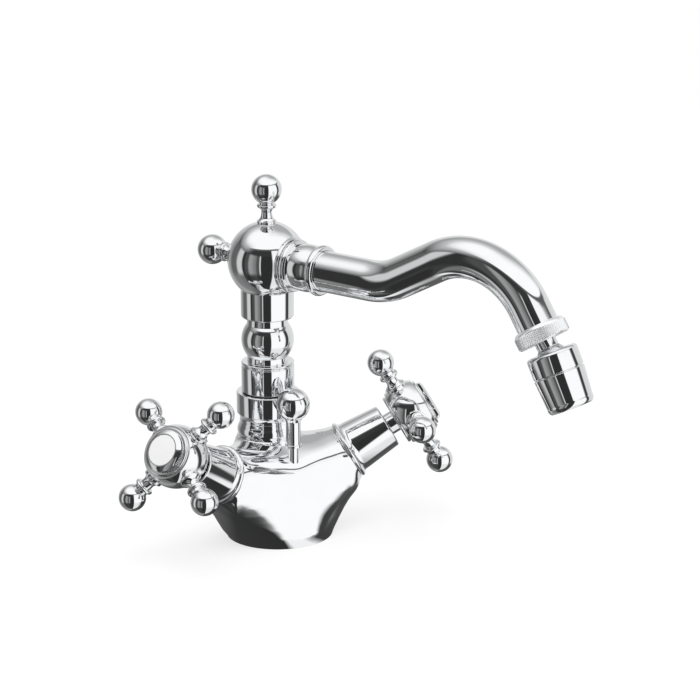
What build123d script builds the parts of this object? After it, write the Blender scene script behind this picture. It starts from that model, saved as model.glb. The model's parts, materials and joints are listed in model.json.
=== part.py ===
"""Single-hole basin mixer with two cross handles, a turned column, an S-shaped swivel spout,
a swivel jet on a ball joint and a pop-up knob. Millimetres, +Z up, front towards -Y.
The origin is the centre of the round foot on the deck."""
import os
from math import cos, pi, radians, sin, sqrt, tan

from build123d import *

# Fits
RUNNING_GAP = 0.05
SEAT_GAP = 0.05
FILM_GAP = 0.02
FREE_GAP = 0.4

# Body casting. A section of squareness 2 is round.
ROUND = 2.0
BASE_DIAMETER = 47.5
BODY_FLARE_HEIGHT = 4.0
BODY_FLARE_SPREAD = 2.55
BODY_FLARE_TILT = 3.0
BODY_FLARE_DRAW_IN = 0.5
COLUMN_SETBACK = 9.64
BODY_SHOULDER_HEIGHT = 22.0
BODY_SHOULDER_TILT = 22.0
BODY_SHOULDER_OUT = 32.6
BODY_SHOULDER_IN = 17.0
BODY_SHOULDER_DEPTH = 20.0
BODY_SHOULDER_SQUARENESS = 3.0
BODY_ARM_OUT = 22.5
BODY_ARM_FORWARD = 1.5
BODY_ARM_HEIGHT = 30.0
BODY_ARM_TILT = 45.0
BODY_ARM_TURN = 10.0
BODY_ARM_HALF_HEIGHT = 18.0
BODY_ARM_HALF_DEPTH = 16.6
BODY_ARM_SQUARENESS = 3.6
ARM_END_DIAMETER = 26.6
BOSS_HEIGHT = 52.0
BOSS_LEDGE = 0.8
BOSS_WAIST_DROP = 7.6
BOSS_WAIST_SPREAD = 0.6
BOSS_HIP_DROP = 16.0
BOSS_HIP_SPREAD = 5.3
BOSS_HIP_SETBACK = 8.5
BOSS_FOOT_DRAW_IN = 0.75
BOSS_LOW_HEIGHT = 20.0
BOSS_LOW_DRAW_IN = 3.25
BOSS_LOW_SETBACK = 4.0
BOSS_SPIGOT_WALL = 2.0
BOSS_SPIGOT_HEIGHT = 5.6
BOSS_BEAD_HEIGHT = 5.4
BOSS_BEAD_RADIUS = 5.0
BOSS_BEAD_LEDGE = 0.5
BOSS_COVE_HEIGHT = 2.6

# Valve axes and cartridges. A place along a valve axis ends in AT.
VALVE_MEET_SETBACK = 8.94
VALVE_MEET_HEIGHT = 13.53
VALVE_TILT = 30.0
VALVE_SPLAY = 21.2
VALVE_SEAT_AT = 17.0
ARM_FACE_AT = 41.2
VALVE_BORE_DIAMETER = 18.0
HOUSING_WALL = 1.4
HOUSING_FLANGE_DIAMETER = 20.0
HOUSING_FLANGE_HEIGHT = 3.0
HOUSING_NECK_WALL = 2.5
HOUSING_PORT_DIAMETER = 3.0
SEAT_SEAL_HEIGHT = 2.0
SEAT_SEAL_BORE = 11.0
DISC_THICKNESS = 3.0
DISC_PORT_DIAMETER = 4.4
DISC_PORT_OFFSET = 3.8
DRIVER_HEIGHT = 3.0
DRIVER_KEY_WIDTH = 3.0
DRIVER_KEY_LENGTH = 11.0
DRIVER_KEY_DEPTH = 1.2
SPINDLE_DIAMETER = 8.0
SPINDLE_INSET = 6.7

# Bonnet over each valve
BONNET_LENGTH = 22.3
BONNET_FOOT_OVERHANG = 0.5
BONNET_FOOT_HEIGHT = 2.4
BONNET_FOOT_ROUND = 1.4
BONNET_BARREL_DRAW_IN = 2.0
BONNET_COVE_HEIGHT = 2.6
BONNET_COVE_RADIUS = 3.4
BONNET_TAPER = 1.6
BONNET_EDGE_RADIUS = 0.9
BONNET_END_WALL = 3.5
BONNET_WALL = 1.7
BONNET_OPENING_GAP = 0.5

# Cross handle
CROSS_HEIGHT = 8.1
HUB_GAP = 0.5
HUB_NECK_WALL = 1.0
HUB_NECK_LENGTH = 3.9
HUB_LENGTH = 15.5
HUB_DIAMETER = 28.4
HUB_RIM_DIAMETER = 23.6
HUB_RIM_HEIGHT = 1.6
HUB_GROOVE_DEPTH = 0.6
HUB_RECESS_WALL = 2.5
HUB_WEB = 2.0
CAP_HEIGHT = 3.8
CAP_CORE_DIAMETER = 18.0
CAP_BEAD_OVERHANG = 2.1
CAP_BEAD_WIDTH = 1.2
CAP_GROOVE_OVERHANG = 0.4
CAP_GROOVE_WIDTH = 0.4
CAP_BAND_OVERHANG = 0.6
CAP_BAND_WIDTH = 1.1
CAP_SPIGOT_HEIGHT = 1.8
INDEX_DISC_MARGIN = 2.7
INDEX_DISC_THICKNESS = 1.2
INDEX_RIM = 0.5
SCREW_HEAD_DIAMETER = 8.0
SCREW_HEAD_HEIGHT = 2.4
SCREW_DIAMETER = 4.0
SCREW_LENGTH = 8.0
SCREW_SLOT_WIDTH = 1.0
SCREW_SLOT_DEPTH = 0.8
ARM_COUNT = 4
ARM_BALL_DIAMETER = 12.24
ARM_BALL_OUT = 13.26
ARM_SEAT_PROUD = 0.2
ARM_ROOT_DIAMETER = 9.4
ARM_ROOT_WIDTH = 0.4
ARM_NECK_DIAMETER = 5.6
ARM_NECK_OUT = 2.8
ARM_COVE_RADIUS = 3.0
ARM_BEAD_DIAMETER = 9.0
ARM_BEAD_WIDTH = 1.9
ARM_BEAD_OUT = 5.8
ARM_COLLET_DIAMETER = 6.8
ARM_PIN_DIAMETER = 4.0
ARM_PIN_LENGTH = 4.0
HOT_CROSS_TURN = -36.0
COLD_CROSS_TURN = 0.0

# Retaining ring and column
RING_HEIGHT = 13.0
RING_OVERHANG = 1.3
RING_LIP_HEIGHT = 3.4
RING_EDGE_RADIUS = 0.6
RING_COVE_HEIGHT = 3.4
RING_COVE_RADIUS = 4.0
RING_COVE_LEDGE = 0.2
COLUMN_GAP = 0.4
COLUMN_DIAMETER = 24.0
COLUMN_WALL = 3.5
COLLAR_STRAIGHT = 12.3
COLLAR_GROOVE_WIDTH = 0.6
COLLAR_BEAD_WIDTH = 1.2
BALL_DIAMETER = 23.8
BALL_NECK_DIAMETER = 18.6
BALL_NECK_HEIGHT = 2.8
UPPER_NECK_HEIGHT = 3.3
UPPER_COLLAR_EDGE_RADIUS = 0.9
UPPER_COLLAR_HEIGHT = 12.9
TAIL_DIAMETER = 17.0
TAIL_DEPTH = 16.0
CHAMBER_DEPTH = 7.0
CHAMBER_LEDGE = 1.0
CLIP_REACH = 2.3
CLIP_HEIGHT = 3.0
CLIP_GROOVE_DEPTH = 1.0
BUSH_WALL = 1.7
BUSH_HEIGHT = 7.0
O_RING_SECTION = 2.4
O_RING_HEIGHTS = (4.0, 9.0)
COLUMN_SPIGOT_DIAMETER = 15.0
COLUMN_SPIGOT_HEIGHT = 5.0

# Head and finials
HEAD_DIAMETER = 35.6
FINIAL_BALL_DIAMETER = 13.68
TOP_FINIAL_LENGTH = 15.3
BACK_FINIAL_LENGTH = 13.75
FINIAL_RING_DIAMETER = 8.8
FINIAL_RING_WIDTH = 1.8
FINIAL_RING_BELOW_BALL = 7.4
FINIAL_NECK_DIAMETER = 5.0
FINIAL_COVE_RADIUS = 3.6
FINIAL_FOOT_DIAMETER = 8.8
FINIAL_FOOT_HEIGHT = 1.0
FINIAL_COLLET_DIAMETER = 6.4
FINIAL_PIN_DIAMETER = 4.0
FINIAL_PIN_LENGTH = 5.0

# Spout. The socket clears the column below it and follows the tube.
SPOUT_TURN = 22.2
SPOUT_DIAMETER = 18.4
SPOUT_WALL = 1.2
SOCKET_CLEARANCE = 0.96
SOCKET_BEAD_WIDTH = 1.9
SOCKET_SECOND_OVERHANG = 2.4
SOCKET_GROOVE_OVERHANG = 1.6
SOCKET_GROOVE_WIDTH = 0.4
SOCKET_WAIST_OVERHANG = 0.8
SOCKET_BARREL_ROUND = 20.0
SOCKET_BARREL_LENGTH = 10.6
SOCKET_END_OVERHANG = 2.2
SOCKET_END_WIDTH = 3.2
SOCKET_END_SWELL = 0.8
SOCKET_END_ROUND = 2.0
SOCKET_SPIGOT_DRAW_IN = 1.2
SOCKET_SPIGOT_LENGTH = 5.0
SOCKET_BORE_DRAW_IN = 3.2
SPOUT_ENTRY = 4.0
SPOUT_FIRST_CORNER = 65.5
SPOUT_RISE = 28.4
SPOUT_CREST_CORNER = 121.85
SPOUT_END_LEAN = 32.0
SPOUT_LOW_RADIUS = 35.0
SPOUT_TOP_RADIUS = 36.0
SPOUT_END_RUN = 45.6

# Knurled nut and swivel jet
NUT_WALL = 2.7
NUT_HEIGHT = 7.4
NUT_CHAMFER = 0.8
NUT_LIP = 1.4
NUT_OPENING_GAP = 0.8
NUT_OVERLAP = 3.6
GASKET_HEIGHT = 1.0
GASKET_WIDTH = 2.7
STEM_DIAMETER = 9.6
STEM_BORE_DIAMETER = 6.0
JET_BALL_DIAMETER = 15.0
JET_BALL_DROP = 9.0
JET_BALL_CUT = 1.1
JET_LEAN = 26.0
JET_DIAMETER = 22.7
COLLAR_ABOVE_BALL = 4.0
COLLAR_HEIGHT = 7.4
COLLAR_EDGE_RADIUS = 1.6
JET_THREAD_WALL = 1.55
JET_GROOVE_WIDTH = 0.6
JET_GROOVE_DEPTH = 0.5
SLEEVE_LENGTH = 18.2
SLEEVE_TAPER = 1.05
SLEEVE_END_ROUND = 3.0
SLEEVE_END_WALL = 1.1
SLEEVE_SPIGOT_LENGTH = 2.6
SLEEVE_SPIGOT_WALL = 0.8
SEAT_TOP = 2.6
SEAT_ABOVE_BALL_END = 1.0
SEAT_BORE_DIAMETER = 10.4
SEAT_LEDGE_WIDTH = 1.5
SEAT_LEDGE_HEIGHT = 1.5
INSERT_HEIGHT = 8.0
INSERT_INSET = 0.8
INSERT_HOLE_DIAMETER = 2.0
INSERT_HOLE_PITCH = 3.0
INSERT_HOLE_COUNTS = (1, 6, 12)

# Pop-up knob and rod
KNOB_DIAMETER = 15.2
KNOB_HEIGHT = 12.3
KNOB_CLEARANCE = 0.34
KNOB_COLLAR_DIAMETER = 8.6
KNOB_COLLAR_HEIGHT = 1.6
KNOB_SLEEVE_WALL = 1.0
KNOB_FOOT_OVERHANG = 0.5
KNOB_FOOT_HEIGHT = 1.2
KNOB_SLEEVE_DROP = 7.5
ROD_DIAMETER = 4.6
ROD_BOTTOM = 6.5
ROD_INTO_KNOB = 14.0
ROD_HOLE_GAP = 0.3
GUIDE_WALL = 1.7
GUIDE_TOP = 33.0
GUIDE_HEIGHT = 5.0

# Underside
STUD_HOLE_DIAMETER = 6.8
STUD_HOLE_DEPTH = 16.0
INLET_DIAMETER = 9.0
INLET_DEPTH = 11.0
INLET_SPACING = 24.0
INLET_SETBACK = 4.0
WATERWAY_DIAMETER = 5.0
GASKET_MARGIN = 2.25
GASKET_GROOVE_WIDTH = 3.2
GASKET_GROOVE_DEPTH = 2.0

# Sizes that follow from those above
BUSH_DIAMETER = TAIL_DIAMETER + 2 * BUSH_WALL
BOSS_SPIGOT_DIAMETER = BUSH_DIAMETER + 2 * BOSS_SPIGOT_WALL
BOSS_DIAMETER = BOSS_SPIGOT_DIAMETER + 2 * BOSS_LEDGE
RING_DIAMETER = BOSS_DIAMETER + 2 * RING_OVERHANG
RING_TOP = BOSS_HEIGHT + RING_HEIGHT
TAIL_BOTTOM = BOSS_HEIGHT - TAIL_DEPTH
CHAMBER_BOTTOM = TAIL_BOTTOM - CHAMBER_DEPTH
COLUMN_BORE_DIAMETER = TAIL_DIAMETER - 2 * COLUMN_WALL
GASKET_GROOVE_DIAMETER = BASE_DIAMETER - 2 * GASKET_MARGIN
HOUSING_NECK_DIAMETER = SPINDLE_DIAMETER + 2 * HOUSING_NECK_WALL
BONNET_FOOT_DIAMETER = ARM_END_DIAMETER + 2 * BONNET_FOOT_OVERHANG
BONNET_BARREL_DIAMETER = BONNET_FOOT_DIAMETER - 2 * BONNET_BARREL_DRAW_IN
BONNET_END_AT = ARM_FACE_AT + BONNET_LENGTH
HOUSING_NECK_END_AT = BONNET_END_AT - BONNET_END_WALL
HUB_BACK_AT = BONNET_END_AT + HUB_NECK_LENGTH
HUB_FRONT_AT = HUB_BACK_AT + HUB_LENGTH
HUB_RECESS_DIAMETER = CAP_CORE_DIAMETER - 2 * HUB_RECESS_WALL
CROSS_AT = HUB_BACK_AT + CROSS_HEIGHT
SPINDLE_END_AT = HUB_FRONT_AT - SPINDLE_INSET
CAP_FACE_AT = HUB_FRONT_AT + CAP_HEIGHT
CAP_BAND_DIAMETER = CAP_CORE_DIAMETER + 2 * CAP_BAND_OVERHANG
INDEX_DISC_DIAMETER = CAP_BAND_DIAMETER - 2 * INDEX_DISC_MARGIN
ARM_SEAT_AT = HUB_DIAMETER / 2 + ARM_SEAT_PROUD
SOCKET_SEAT = COLUMN_DIAMETER / 2 + SOCKET_CLEARANCE
SOCKET_SPIGOT_DIAMETER = SPOUT_DIAMETER - 2 * SOCKET_SPIGOT_DRAW_IN
JET_THREAD_DIAMETER = JET_DIAMETER - 2 * JET_THREAD_WALL
SEAT_DIAMETER = JET_THREAD_DIAMETER - 2 * SLEEVE_SPIGOT_WALL
SEAT_BOTTOM = JET_BALL_DIAMETER / 2 - SEAT_ABOVE_BALL_END
SLEEVE_END_DIAMETER = JET_DIAMETER - 2 * SLEEVE_TAPER
SLEEVE_MOUTH_DIAMETER = SLEEVE_END_DIAMETER - 2 * SLEEVE_END_WALL
GUIDE_DIAMETER = ROD_DIAMETER + 2 * GUIDE_WALL
KNOB_SETFORWARD = RING_DIAMETER / 2 - COLUMN_SETBACK + KNOB_CLEARANCE + KNOB_DIAMETER / 2
KNOB_CENTRE = BOSS_HEIGHT + KNOB_HEIGHT
KNOB_SLEEVE_BOTTOM = BOSS_HEIGHT - KNOB_SLEEVE_DROP


def turned(*points):
    """Solid turned about Z. A point is (radius, height). A third number is the radius of the arc
    that reaches the point: positive swells away from the axis on the way up, negative hollows."""
    edges = []
    for start, end in zip(points, points[1:] + points[:1]):
        if len(end) == 3:
            edges.append(RadiusArc(start[:2], end[:2], -end[2]))
        else:
            edges.append(Line(start[:2], end[:2]))
    return revolve(Plane.XZ * make_face(edges), Axis.Z)


def ring(outer, inner, bottom, height):
    """Plain turned ring between two diameters."""
    top = bottom + height
    return turned((inner / 2, bottom), (outer / 2, bottom), (outer / 2, top), (inner / 2, top))


def rod(diameter, bottom, top):
    """Plain turned rod on Z."""
    return turned((0, bottom), (diameter / 2, bottom), (diameter / 2, top), (0, top))


def bead(diameter, bottom, width):
    """Points of a half-round bead, from its lower edge to its upper edge."""
    radius = width / 2
    core = diameter / 2 - radius
    return (core, bottom), (core + radius, bottom + radius, radius), (core, bottom + width, radius)


def ball_chord(ball_diameter, chord_diameter):
    """Distance from a ball's centre to the flat where its section has the given diameter."""
    return sqrt(ball_diameter**2 - chord_diameter**2) / 2


# Heights of the column, from the ring up
COLUMN_BOTTOM = RING_TOP + COLUMN_GAP
COLLAR_STRAIGHT_TOP = RING_TOP + COLLAR_STRAIGHT
COLLAR_BEAD_BOTTOM = COLLAR_STRAIGHT_TOP + COLLAR_GROOVE_WIDTH
COLLAR_TOP = COLLAR_BEAD_BOTTOM + COLLAR_BEAD_WIDTH
BALL_CHORD = ball_chord(BALL_DIAMETER, BALL_NECK_DIAMETER)
BALL_CENTRE = COLLAR_TOP + BALL_NECK_HEIGHT + BALL_CHORD
UPPER_COLLAR_BOTTOM = BALL_CENTRE + BALL_CHORD + UPPER_NECK_HEIGHT
HEAD_FLAT = UPPER_COLLAR_BOTTOM + UPPER_COLLAR_HEIGHT
HEAD_CENTRE = HEAD_FLAT + ball_chord(HEAD_DIAMETER, COLUMN_DIAMETER)


# Directions and planes of the assembly
def valve_plane(side):
    """Plane on a valve axis: Z runs outwards along the axis, X is level. Side is -1 hot, +1 cold."""
    level = cos(radians(VALVE_TILT))
    outwards = Vector(
        side * level * cos(radians(VALVE_SPLAY)),
        -level * sin(radians(VALVE_SPLAY)),
        sin(radians(VALVE_TILT)),
    )
    right = Vector(sin(radians(VALVE_SPLAY)), side * cos(radians(VALVE_SPLAY)), 0)
    return Plane(origin=(0, VALVE_MEET_SETBACK, VALVE_MEET_HEIGHT), x_dir=right, z_dir=outwards)


SPOUT_X = sin(radians(SPOUT_TURN))
SPOUT_Y = -cos(radians(SPOUT_TURN))
COLUMN_AXIS = Location((0, COLUMN_SETBACK, 0))
SPOUT_PLANE = Plane(origin=(0, COLUMN_SETBACK, 0), x_dir=(SPOUT_X, SPOUT_Y, 0), z_dir=(SPOUT_Y, -SPOUT_X, 0))
HEAD_POINT = Vector(0, COLUMN_SETBACK, HEAD_CENTRE)
SPOUT_AXIS = Plane(origin=HEAD_POINT, x_dir=(0, 0, 1), z_dir=(SPOUT_X, SPOUT_Y, 0))
TOP_AXIS = Plane(origin=HEAD_POINT, x_dir=(1, 0, 0), z_dir=(0, 0, 1))
BACK_AXIS = Plane(origin=HEAD_POINT, x_dir=(0, 0, 1), z_dir=(-SPOUT_X, -SPOUT_Y, 0))
KNOB_AXIS = Location((0, -KNOB_SETFORWARD, 0))

# Corners of the spout's centre line, reach and height
FIRST_CORNER = Vector(SPOUT_FIRST_CORNER, HEAD_CENTRE)
CREST_CORNER = Vector(
    SPOUT_CREST_CORNER,
    HEAD_CENTRE + (SPOUT_CREST_CORNER - SPOUT_FIRST_CORNER) * tan(radians(SPOUT_RISE)),
)


def lean_direction(lean):
    """Reach and height of a unit step down an axis that leans outwards by an angle."""
    return Vector(sin(radians(lean)), -cos(radians(lean)))


def leaning_plane(point, lean):
    """Plane at a reach and height of the spout, with Z down an axis of the given lean."""
    step = lean_direction(lean)
    origin = SPOUT_PLANE.from_local_coords(Vector(point.X, point.Y, 0))
    down = Vector(SPOUT_X * step.X, SPOUT_Y * step.X, step.Y)
    return Plane(origin=origin, x_dir=(-SPOUT_Y, SPOUT_X, 0), z_dir=down)


SPOUT_END = CREST_CORNER + lean_direction(SPOUT_END_LEAN) * SPOUT_END_RUN
NUT_TOP = SPOUT_END - lean_direction(SPOUT_END_LEAN) * NUT_OVERLAP
NUT_PLANE = leaning_plane(NUT_TOP, SPOUT_END_LEAN)
JET_CENTRE = NUT_TOP + lean_direction(SPOUT_END_LEAN) * (NUT_HEIGHT + JET_BALL_DROP)
JET_PLANE = leaning_plane(JET_CENTRE, JET_LEAN)


# Body casting
def body_section(plane, out, back, depth, squareness, count=24):
    """Rounded section of the body: reaches out one way, back the other, and is deep across."""
    points = []
    for step in range(count):
        angle = 2 * pi * step / count
        across = cos(angle)
        along = sin(angle)
        reach = out if across > 0 else back
        power = 2 / squareness
        points.append(
            (
                reach * abs(across) ** power * (1 if across > 0 else -1),
                depth * abs(along) ** power * (1 if along > 0 else -1),
            )
        )
    return plane * make_face(Spline(*points, periodic=True))


def falling_plane(origin, tilt, turn=0.0):
    """Plane whose X falls outwards by the tilt and is turned forward by an angle."""
    level = cos(radians(tilt))
    x_dir = Vector(level * cos(radians(turn)), -level * sin(radians(turn)), -sin(radians(tilt)))
    y_dir = Vector(sin(radians(turn)), cos(radians(turn)), 0)
    return Plane(origin=origin, x_dir=x_dir, z_dir=x_dir.cross(y_dir))


def body_half():
    """The cold half of the casting: round foot, waist, shoulder and arm end in one smooth skin."""
    foot = BASE_DIAMETER / 2
    arm_radius = ARM_END_DIAMETER / 2
    arm_end = valve_plane(1).from_local_coords(Vector(0, 0, ARM_FACE_AT))
    sections = [
        body_section(falling_plane((0, 0, 0), 0), foot, foot, foot, ROUND),
        body_section(
            falling_plane((0, 0, BODY_FLARE_HEIGHT), BODY_FLARE_TILT),
            foot + BODY_FLARE_SPREAD,
            foot,
            foot - BODY_FLARE_DRAW_IN,
            ROUND,
        ),
        body_section(
            falling_plane((0, 0, BODY_SHOULDER_HEIGHT), BODY_SHOULDER_TILT),
            BODY_SHOULDER_OUT,
            BODY_SHOULDER_IN,
            BODY_SHOULDER_DEPTH,
            BODY_SHOULDER_SQUARENESS,
        ),
        body_section(
            falling_plane((BODY_ARM_OUT, -BODY_ARM_FORWARD, BODY_ARM_HEIGHT), BODY_ARM_TILT, BODY_ARM_TURN),
            BODY_ARM_HALF_HEIGHT,
            BODY_ARM_HALF_HEIGHT,
            BODY_ARM_HALF_DEPTH,
            BODY_ARM_SQUARENESS,
        ),
        body_section(
            falling_plane(arm_end, 90 - VALVE_TILT, VALVE_SPLAY), arm_radius, arm_radius, arm_radius, ROUND
        ),
    ]
    skin = loft(sections)
    return skin & Pos(BASE_DIAMETER, 0, 0) * Box(2 * BASE_DIAMETER, 4 * BASE_DIAMETER, 4 * BASE_DIAMETER)


def column_boss():
    """Spine of the casting, from inside the foot up to the beaded boss under the column."""
    circles = [
        Circle(BASE_DIAMETER / 2 - BOSS_FOOT_DRAW_IN),
        Pos(0, BOSS_LOW_SETBACK, BOSS_LOW_HEIGHT) * Circle(BASE_DIAMETER / 2 - BOSS_LOW_DRAW_IN),
        Pos(0, BOSS_HIP_SETBACK, BOSS_HEIGHT - BOSS_HIP_DROP) * Circle(BOSS_DIAMETER / 2 + BOSS_HIP_SPREAD),
        Pos(0, COLUMN_SETBACK, BOSS_HEIGHT - BOSS_WAIST_DROP) * Circle(BOSS_DIAMETER / 2 + BOSS_WAIST_SPREAD),
    ]
    edge = BOSS_DIAMETER / 2
    bead_top = BOSS_HEIGHT - BOSS_COVE_HEIGHT
    collar = turned(
        (0, CHAMBER_BOTTOM),
        (edge, CHAMBER_BOTTOM),
        (edge, bead_top - BOSS_BEAD_HEIGHT),
        (edge + BOSS_BEAD_LEDGE, bead_top, BOSS_BEAD_RADIUS),
        (edge, BOSS_HEIGHT, -RING_COVE_RADIUS),
        (0, BOSS_HEIGHT),
    )
    return loft(circles) + COLUMN_AXIS * collar


def mixer_body():
    """Casting with the column boss, the valve bores, the waterways and the holes of the underside."""
    half = body_half()
    spigot_top = BOSS_HEIGHT + BOSS_SPIGOT_HEIGHT
    chamber = TAIL_DIAMETER / 2 - CHAMBER_LEDGE
    spigot = COLUMN_AXIS * rod(BOSS_SPIGOT_DIAMETER, CHAMBER_BOTTOM, spigot_top)
    column_bore = turned(
        (0, CHAMBER_BOTTOM),
        (chamber, CHAMBER_BOTTOM),
        (chamber, TAIL_BOTTOM - COLUMN_GAP),
        (TAIL_DIAMETER / 2 + RUNNING_GAP, TAIL_BOTTOM - COLUMN_GAP),
        (TAIL_DIAMETER / 2 + RUNNING_GAP, spigot_top - BUSH_HEIGHT),
        (BUSH_DIAMETER / 2 + SEAT_GAP, spigot_top - BUSH_HEIGHT),
        (BUSH_DIAMETER / 2 + SEAT_GAP, spigot_top),
        (0, spigot_top),
    )
    rod_bore = rod(ROD_DIAMETER + 2 * ROD_HOLE_GAP, GUIDE_TOP, BOSS_HEIGHT)
    rod_bore += rod(GUIDE_DIAMETER + 2 * SEAT_GAP, 0, GUIDE_TOP)
    gasket_groove = ring(
        GASKET_GROOVE_DIAMETER, GASKET_GROOVE_DIAMETER - 2 * GASKET_GROOVE_WIDTH, 0, GASKET_GROOVE_DEPTH
    )
    body = half + mirror(half, Plane.YZ) + column_boss() + spigot
    body -= COLUMN_AXIS * column_bore
    body -= KNOB_AXIS * rod_bore
    body -= gasket_groove + rod(STUD_HOLE_DIAMETER, 0, STUD_HOLE_DEPTH)
    for side in (-1, 1):
        body -= valve_plane(side) * rod(VALVE_BORE_DIAMETER, VALVE_SEAT_AT, CROSS_AT)
        body -= Pos(side * INLET_SPACING / 2, INLET_SETBACK, 0) * rod(INLET_DIAMETER, 0, INLET_DEPTH)
        seat = valve_plane(side).from_local_coords(Vector(0, 0, VALVE_SEAT_AT))
        body -= Pos(side * INLET_SPACING / 2, INLET_SETBACK, 0) * rod(WATERWAY_DIAMETER, 0, seat.Z)
        body -= waterway(side)
    return body


def waterway(side):
    """Drilling from a valve bore to the chamber under the column."""
    start = Vector(0, COLUMN_SETBACK, (CHAMBER_BOTTOM + TAIL_BOTTOM) / 2)
    end = valve_plane(side).from_local_coords(Vector(0, 0, (VALVE_SEAT_AT + ARM_FACE_AT) / 2))
    return Plane(origin=start, z_dir=end - start) * rod(WATERWAY_DIAMETER, 0, (end - start).length)


def base_gasket():
    return ring(
        GASKET_GROOVE_DIAMETER - 2 * SEAT_GAP,
        GASKET_GROOVE_DIAMETER - 2 * GASKET_GROOVE_WIDTH + 2 * SEAT_GAP,
        0,
        GASKET_GROOVE_DEPTH,
    )


# Retaining ring, bush, clip and column
def retaining_ring():
    outer = RING_DIAMETER / 2
    thread = BOSS_SPIGOT_DIAMETER / 2 + SEAT_GAP
    opening = TAIL_DIAMETER / 2 + RUNNING_GAP
    cove_top = BOSS_HEIGHT + RING_COVE_HEIGHT
    return turned(
        (thread, BOSS_HEIGHT),
        (BOSS_DIAMETER / 2, BOSS_HEIGHT),
        (outer - RING_COVE_LEDGE, cove_top, -RING_COVE_RADIUS),
        (outer, cove_top),
        (outer, RING_TOP - RING_EDGE_RADIUS),
        (outer - RING_EDGE_RADIUS, RING_TOP, RING_EDGE_RADIUS),
        (opening, RING_TOP),
        (opening, RING_TOP - RING_LIP_HEIGHT),
        (thread, RING_TOP - RING_LIP_HEIGHT),
    )


def column_bush():
    top = BOSS_HEIGHT + BOSS_SPIGOT_HEIGHT
    return ring(BUSH_DIAMETER, TAIL_DIAMETER + 2 * RUNNING_GAP, top - BUSH_HEIGHT, BUSH_HEIGHT)


CLIP_TOP = RING_TOP - RING_LIP_HEIGHT - RUNNING_GAP


def column_clip():
    """Split ring that hangs the column under the lip of the retaining ring."""
    outer = TAIL_DIAMETER + 2 * CLIP_REACH
    inner = TAIL_DIAMETER - 2 * CLIP_GROOVE_DEPTH + 2 * SEAT_GAP
    split = Box(CLIP_HEIGHT / 2, outer, CLIP_HEIGHT * 2)
    return ring(outer, inner, CLIP_TOP - CLIP_HEIGHT, CLIP_HEIGHT) - Pos(0, outer / 2, CLIP_TOP) * split


O_RING_CENTRE = TAIL_DIAMETER / 2 - O_RING_SECTION / 2


def column_o_rings():
    o_ring = Pos(0, 0, TAIL_BOTTOM) * Torus(O_RING_CENTRE, O_RING_SECTION / 2)
    return Compound([Pos(0, 0, height) * o_ring for height in O_RING_HEIGHTS])


def column():
    """Turned pillar: tail, lower collar, ball ornament, upper collar and spigot."""
    tail = TAIL_DIAMETER / 2
    collar = COLUMN_DIAMETER / 2
    neck = BALL_NECK_DIAMETER / 2
    spigot = COLUMN_SPIGOT_DIAMETER / 2
    clip_groove = tail - CLIP_GROOVE_DEPTH
    pillar = turned(
        (0, TAIL_BOTTOM),
        (tail, TAIL_BOTTOM),
        (tail, CLIP_TOP - CLIP_HEIGHT - SEAT_GAP),
        (clip_groove, CLIP_TOP - CLIP_HEIGHT - SEAT_GAP),
        (clip_groove, CLIP_TOP + SEAT_GAP / 2),
        (tail, CLIP_TOP + SEAT_GAP / 2),
        (tail, COLUMN_BOTTOM),
        (collar, COLUMN_BOTTOM),
        (collar, COLLAR_STRAIGHT_TOP),
        (collar - COLLAR_BEAD_WIDTH / 2, COLLAR_STRAIGHT_TOP),
        *bead(COLUMN_DIAMETER, COLLAR_BEAD_BOTTOM, COLLAR_BEAD_WIDTH),
        (neck, COLLAR_TOP),
        (neck, BALL_CENTRE - BALL_CHORD),
        (BALL_DIAMETER / 2, BALL_CENTRE, BALL_DIAMETER / 2),
        (neck, BALL_CENTRE + BALL_CHORD, BALL_DIAMETER / 2),
        (neck, UPPER_COLLAR_BOTTOM),
        (collar - UPPER_COLLAR_EDGE_RADIUS, UPPER_COLLAR_BOTTOM),
        (collar, UPPER_COLLAR_BOTTOM + UPPER_COLLAR_EDGE_RADIUS, UPPER_COLLAR_EDGE_RADIUS),
        (collar, HEAD_FLAT),
        (spigot, HEAD_FLAT),
        (spigot, HEAD_FLAT + COLUMN_SPIGOT_HEIGHT),
        (0, HEAD_FLAT + COLUMN_SPIGOT_HEIGHT),
    )
    pillar -= rod(COLUMN_BORE_DIAMETER, TAIL_BOTTOM, HEAD_CENTRE)
    groove_bottom = TAIL_DIAMETER - 2 * O_RING_SECTION - 2 * SEAT_GAP
    width = O_RING_SECTION + 2 * SEAT_GAP
    for height in O_RING_HEIGHTS:
        bottom = TAIL_BOTTOM + height - width / 2
        pillar -= ring(TAIL_DIAMETER + O_RING_SECTION, groove_bottom, bottom, width)
    return pillar


# Head, finials and spout
FINIAL_SEAT = ball_chord(HEAD_DIAMETER, FINIAL_FOOT_DIAMETER)


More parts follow.
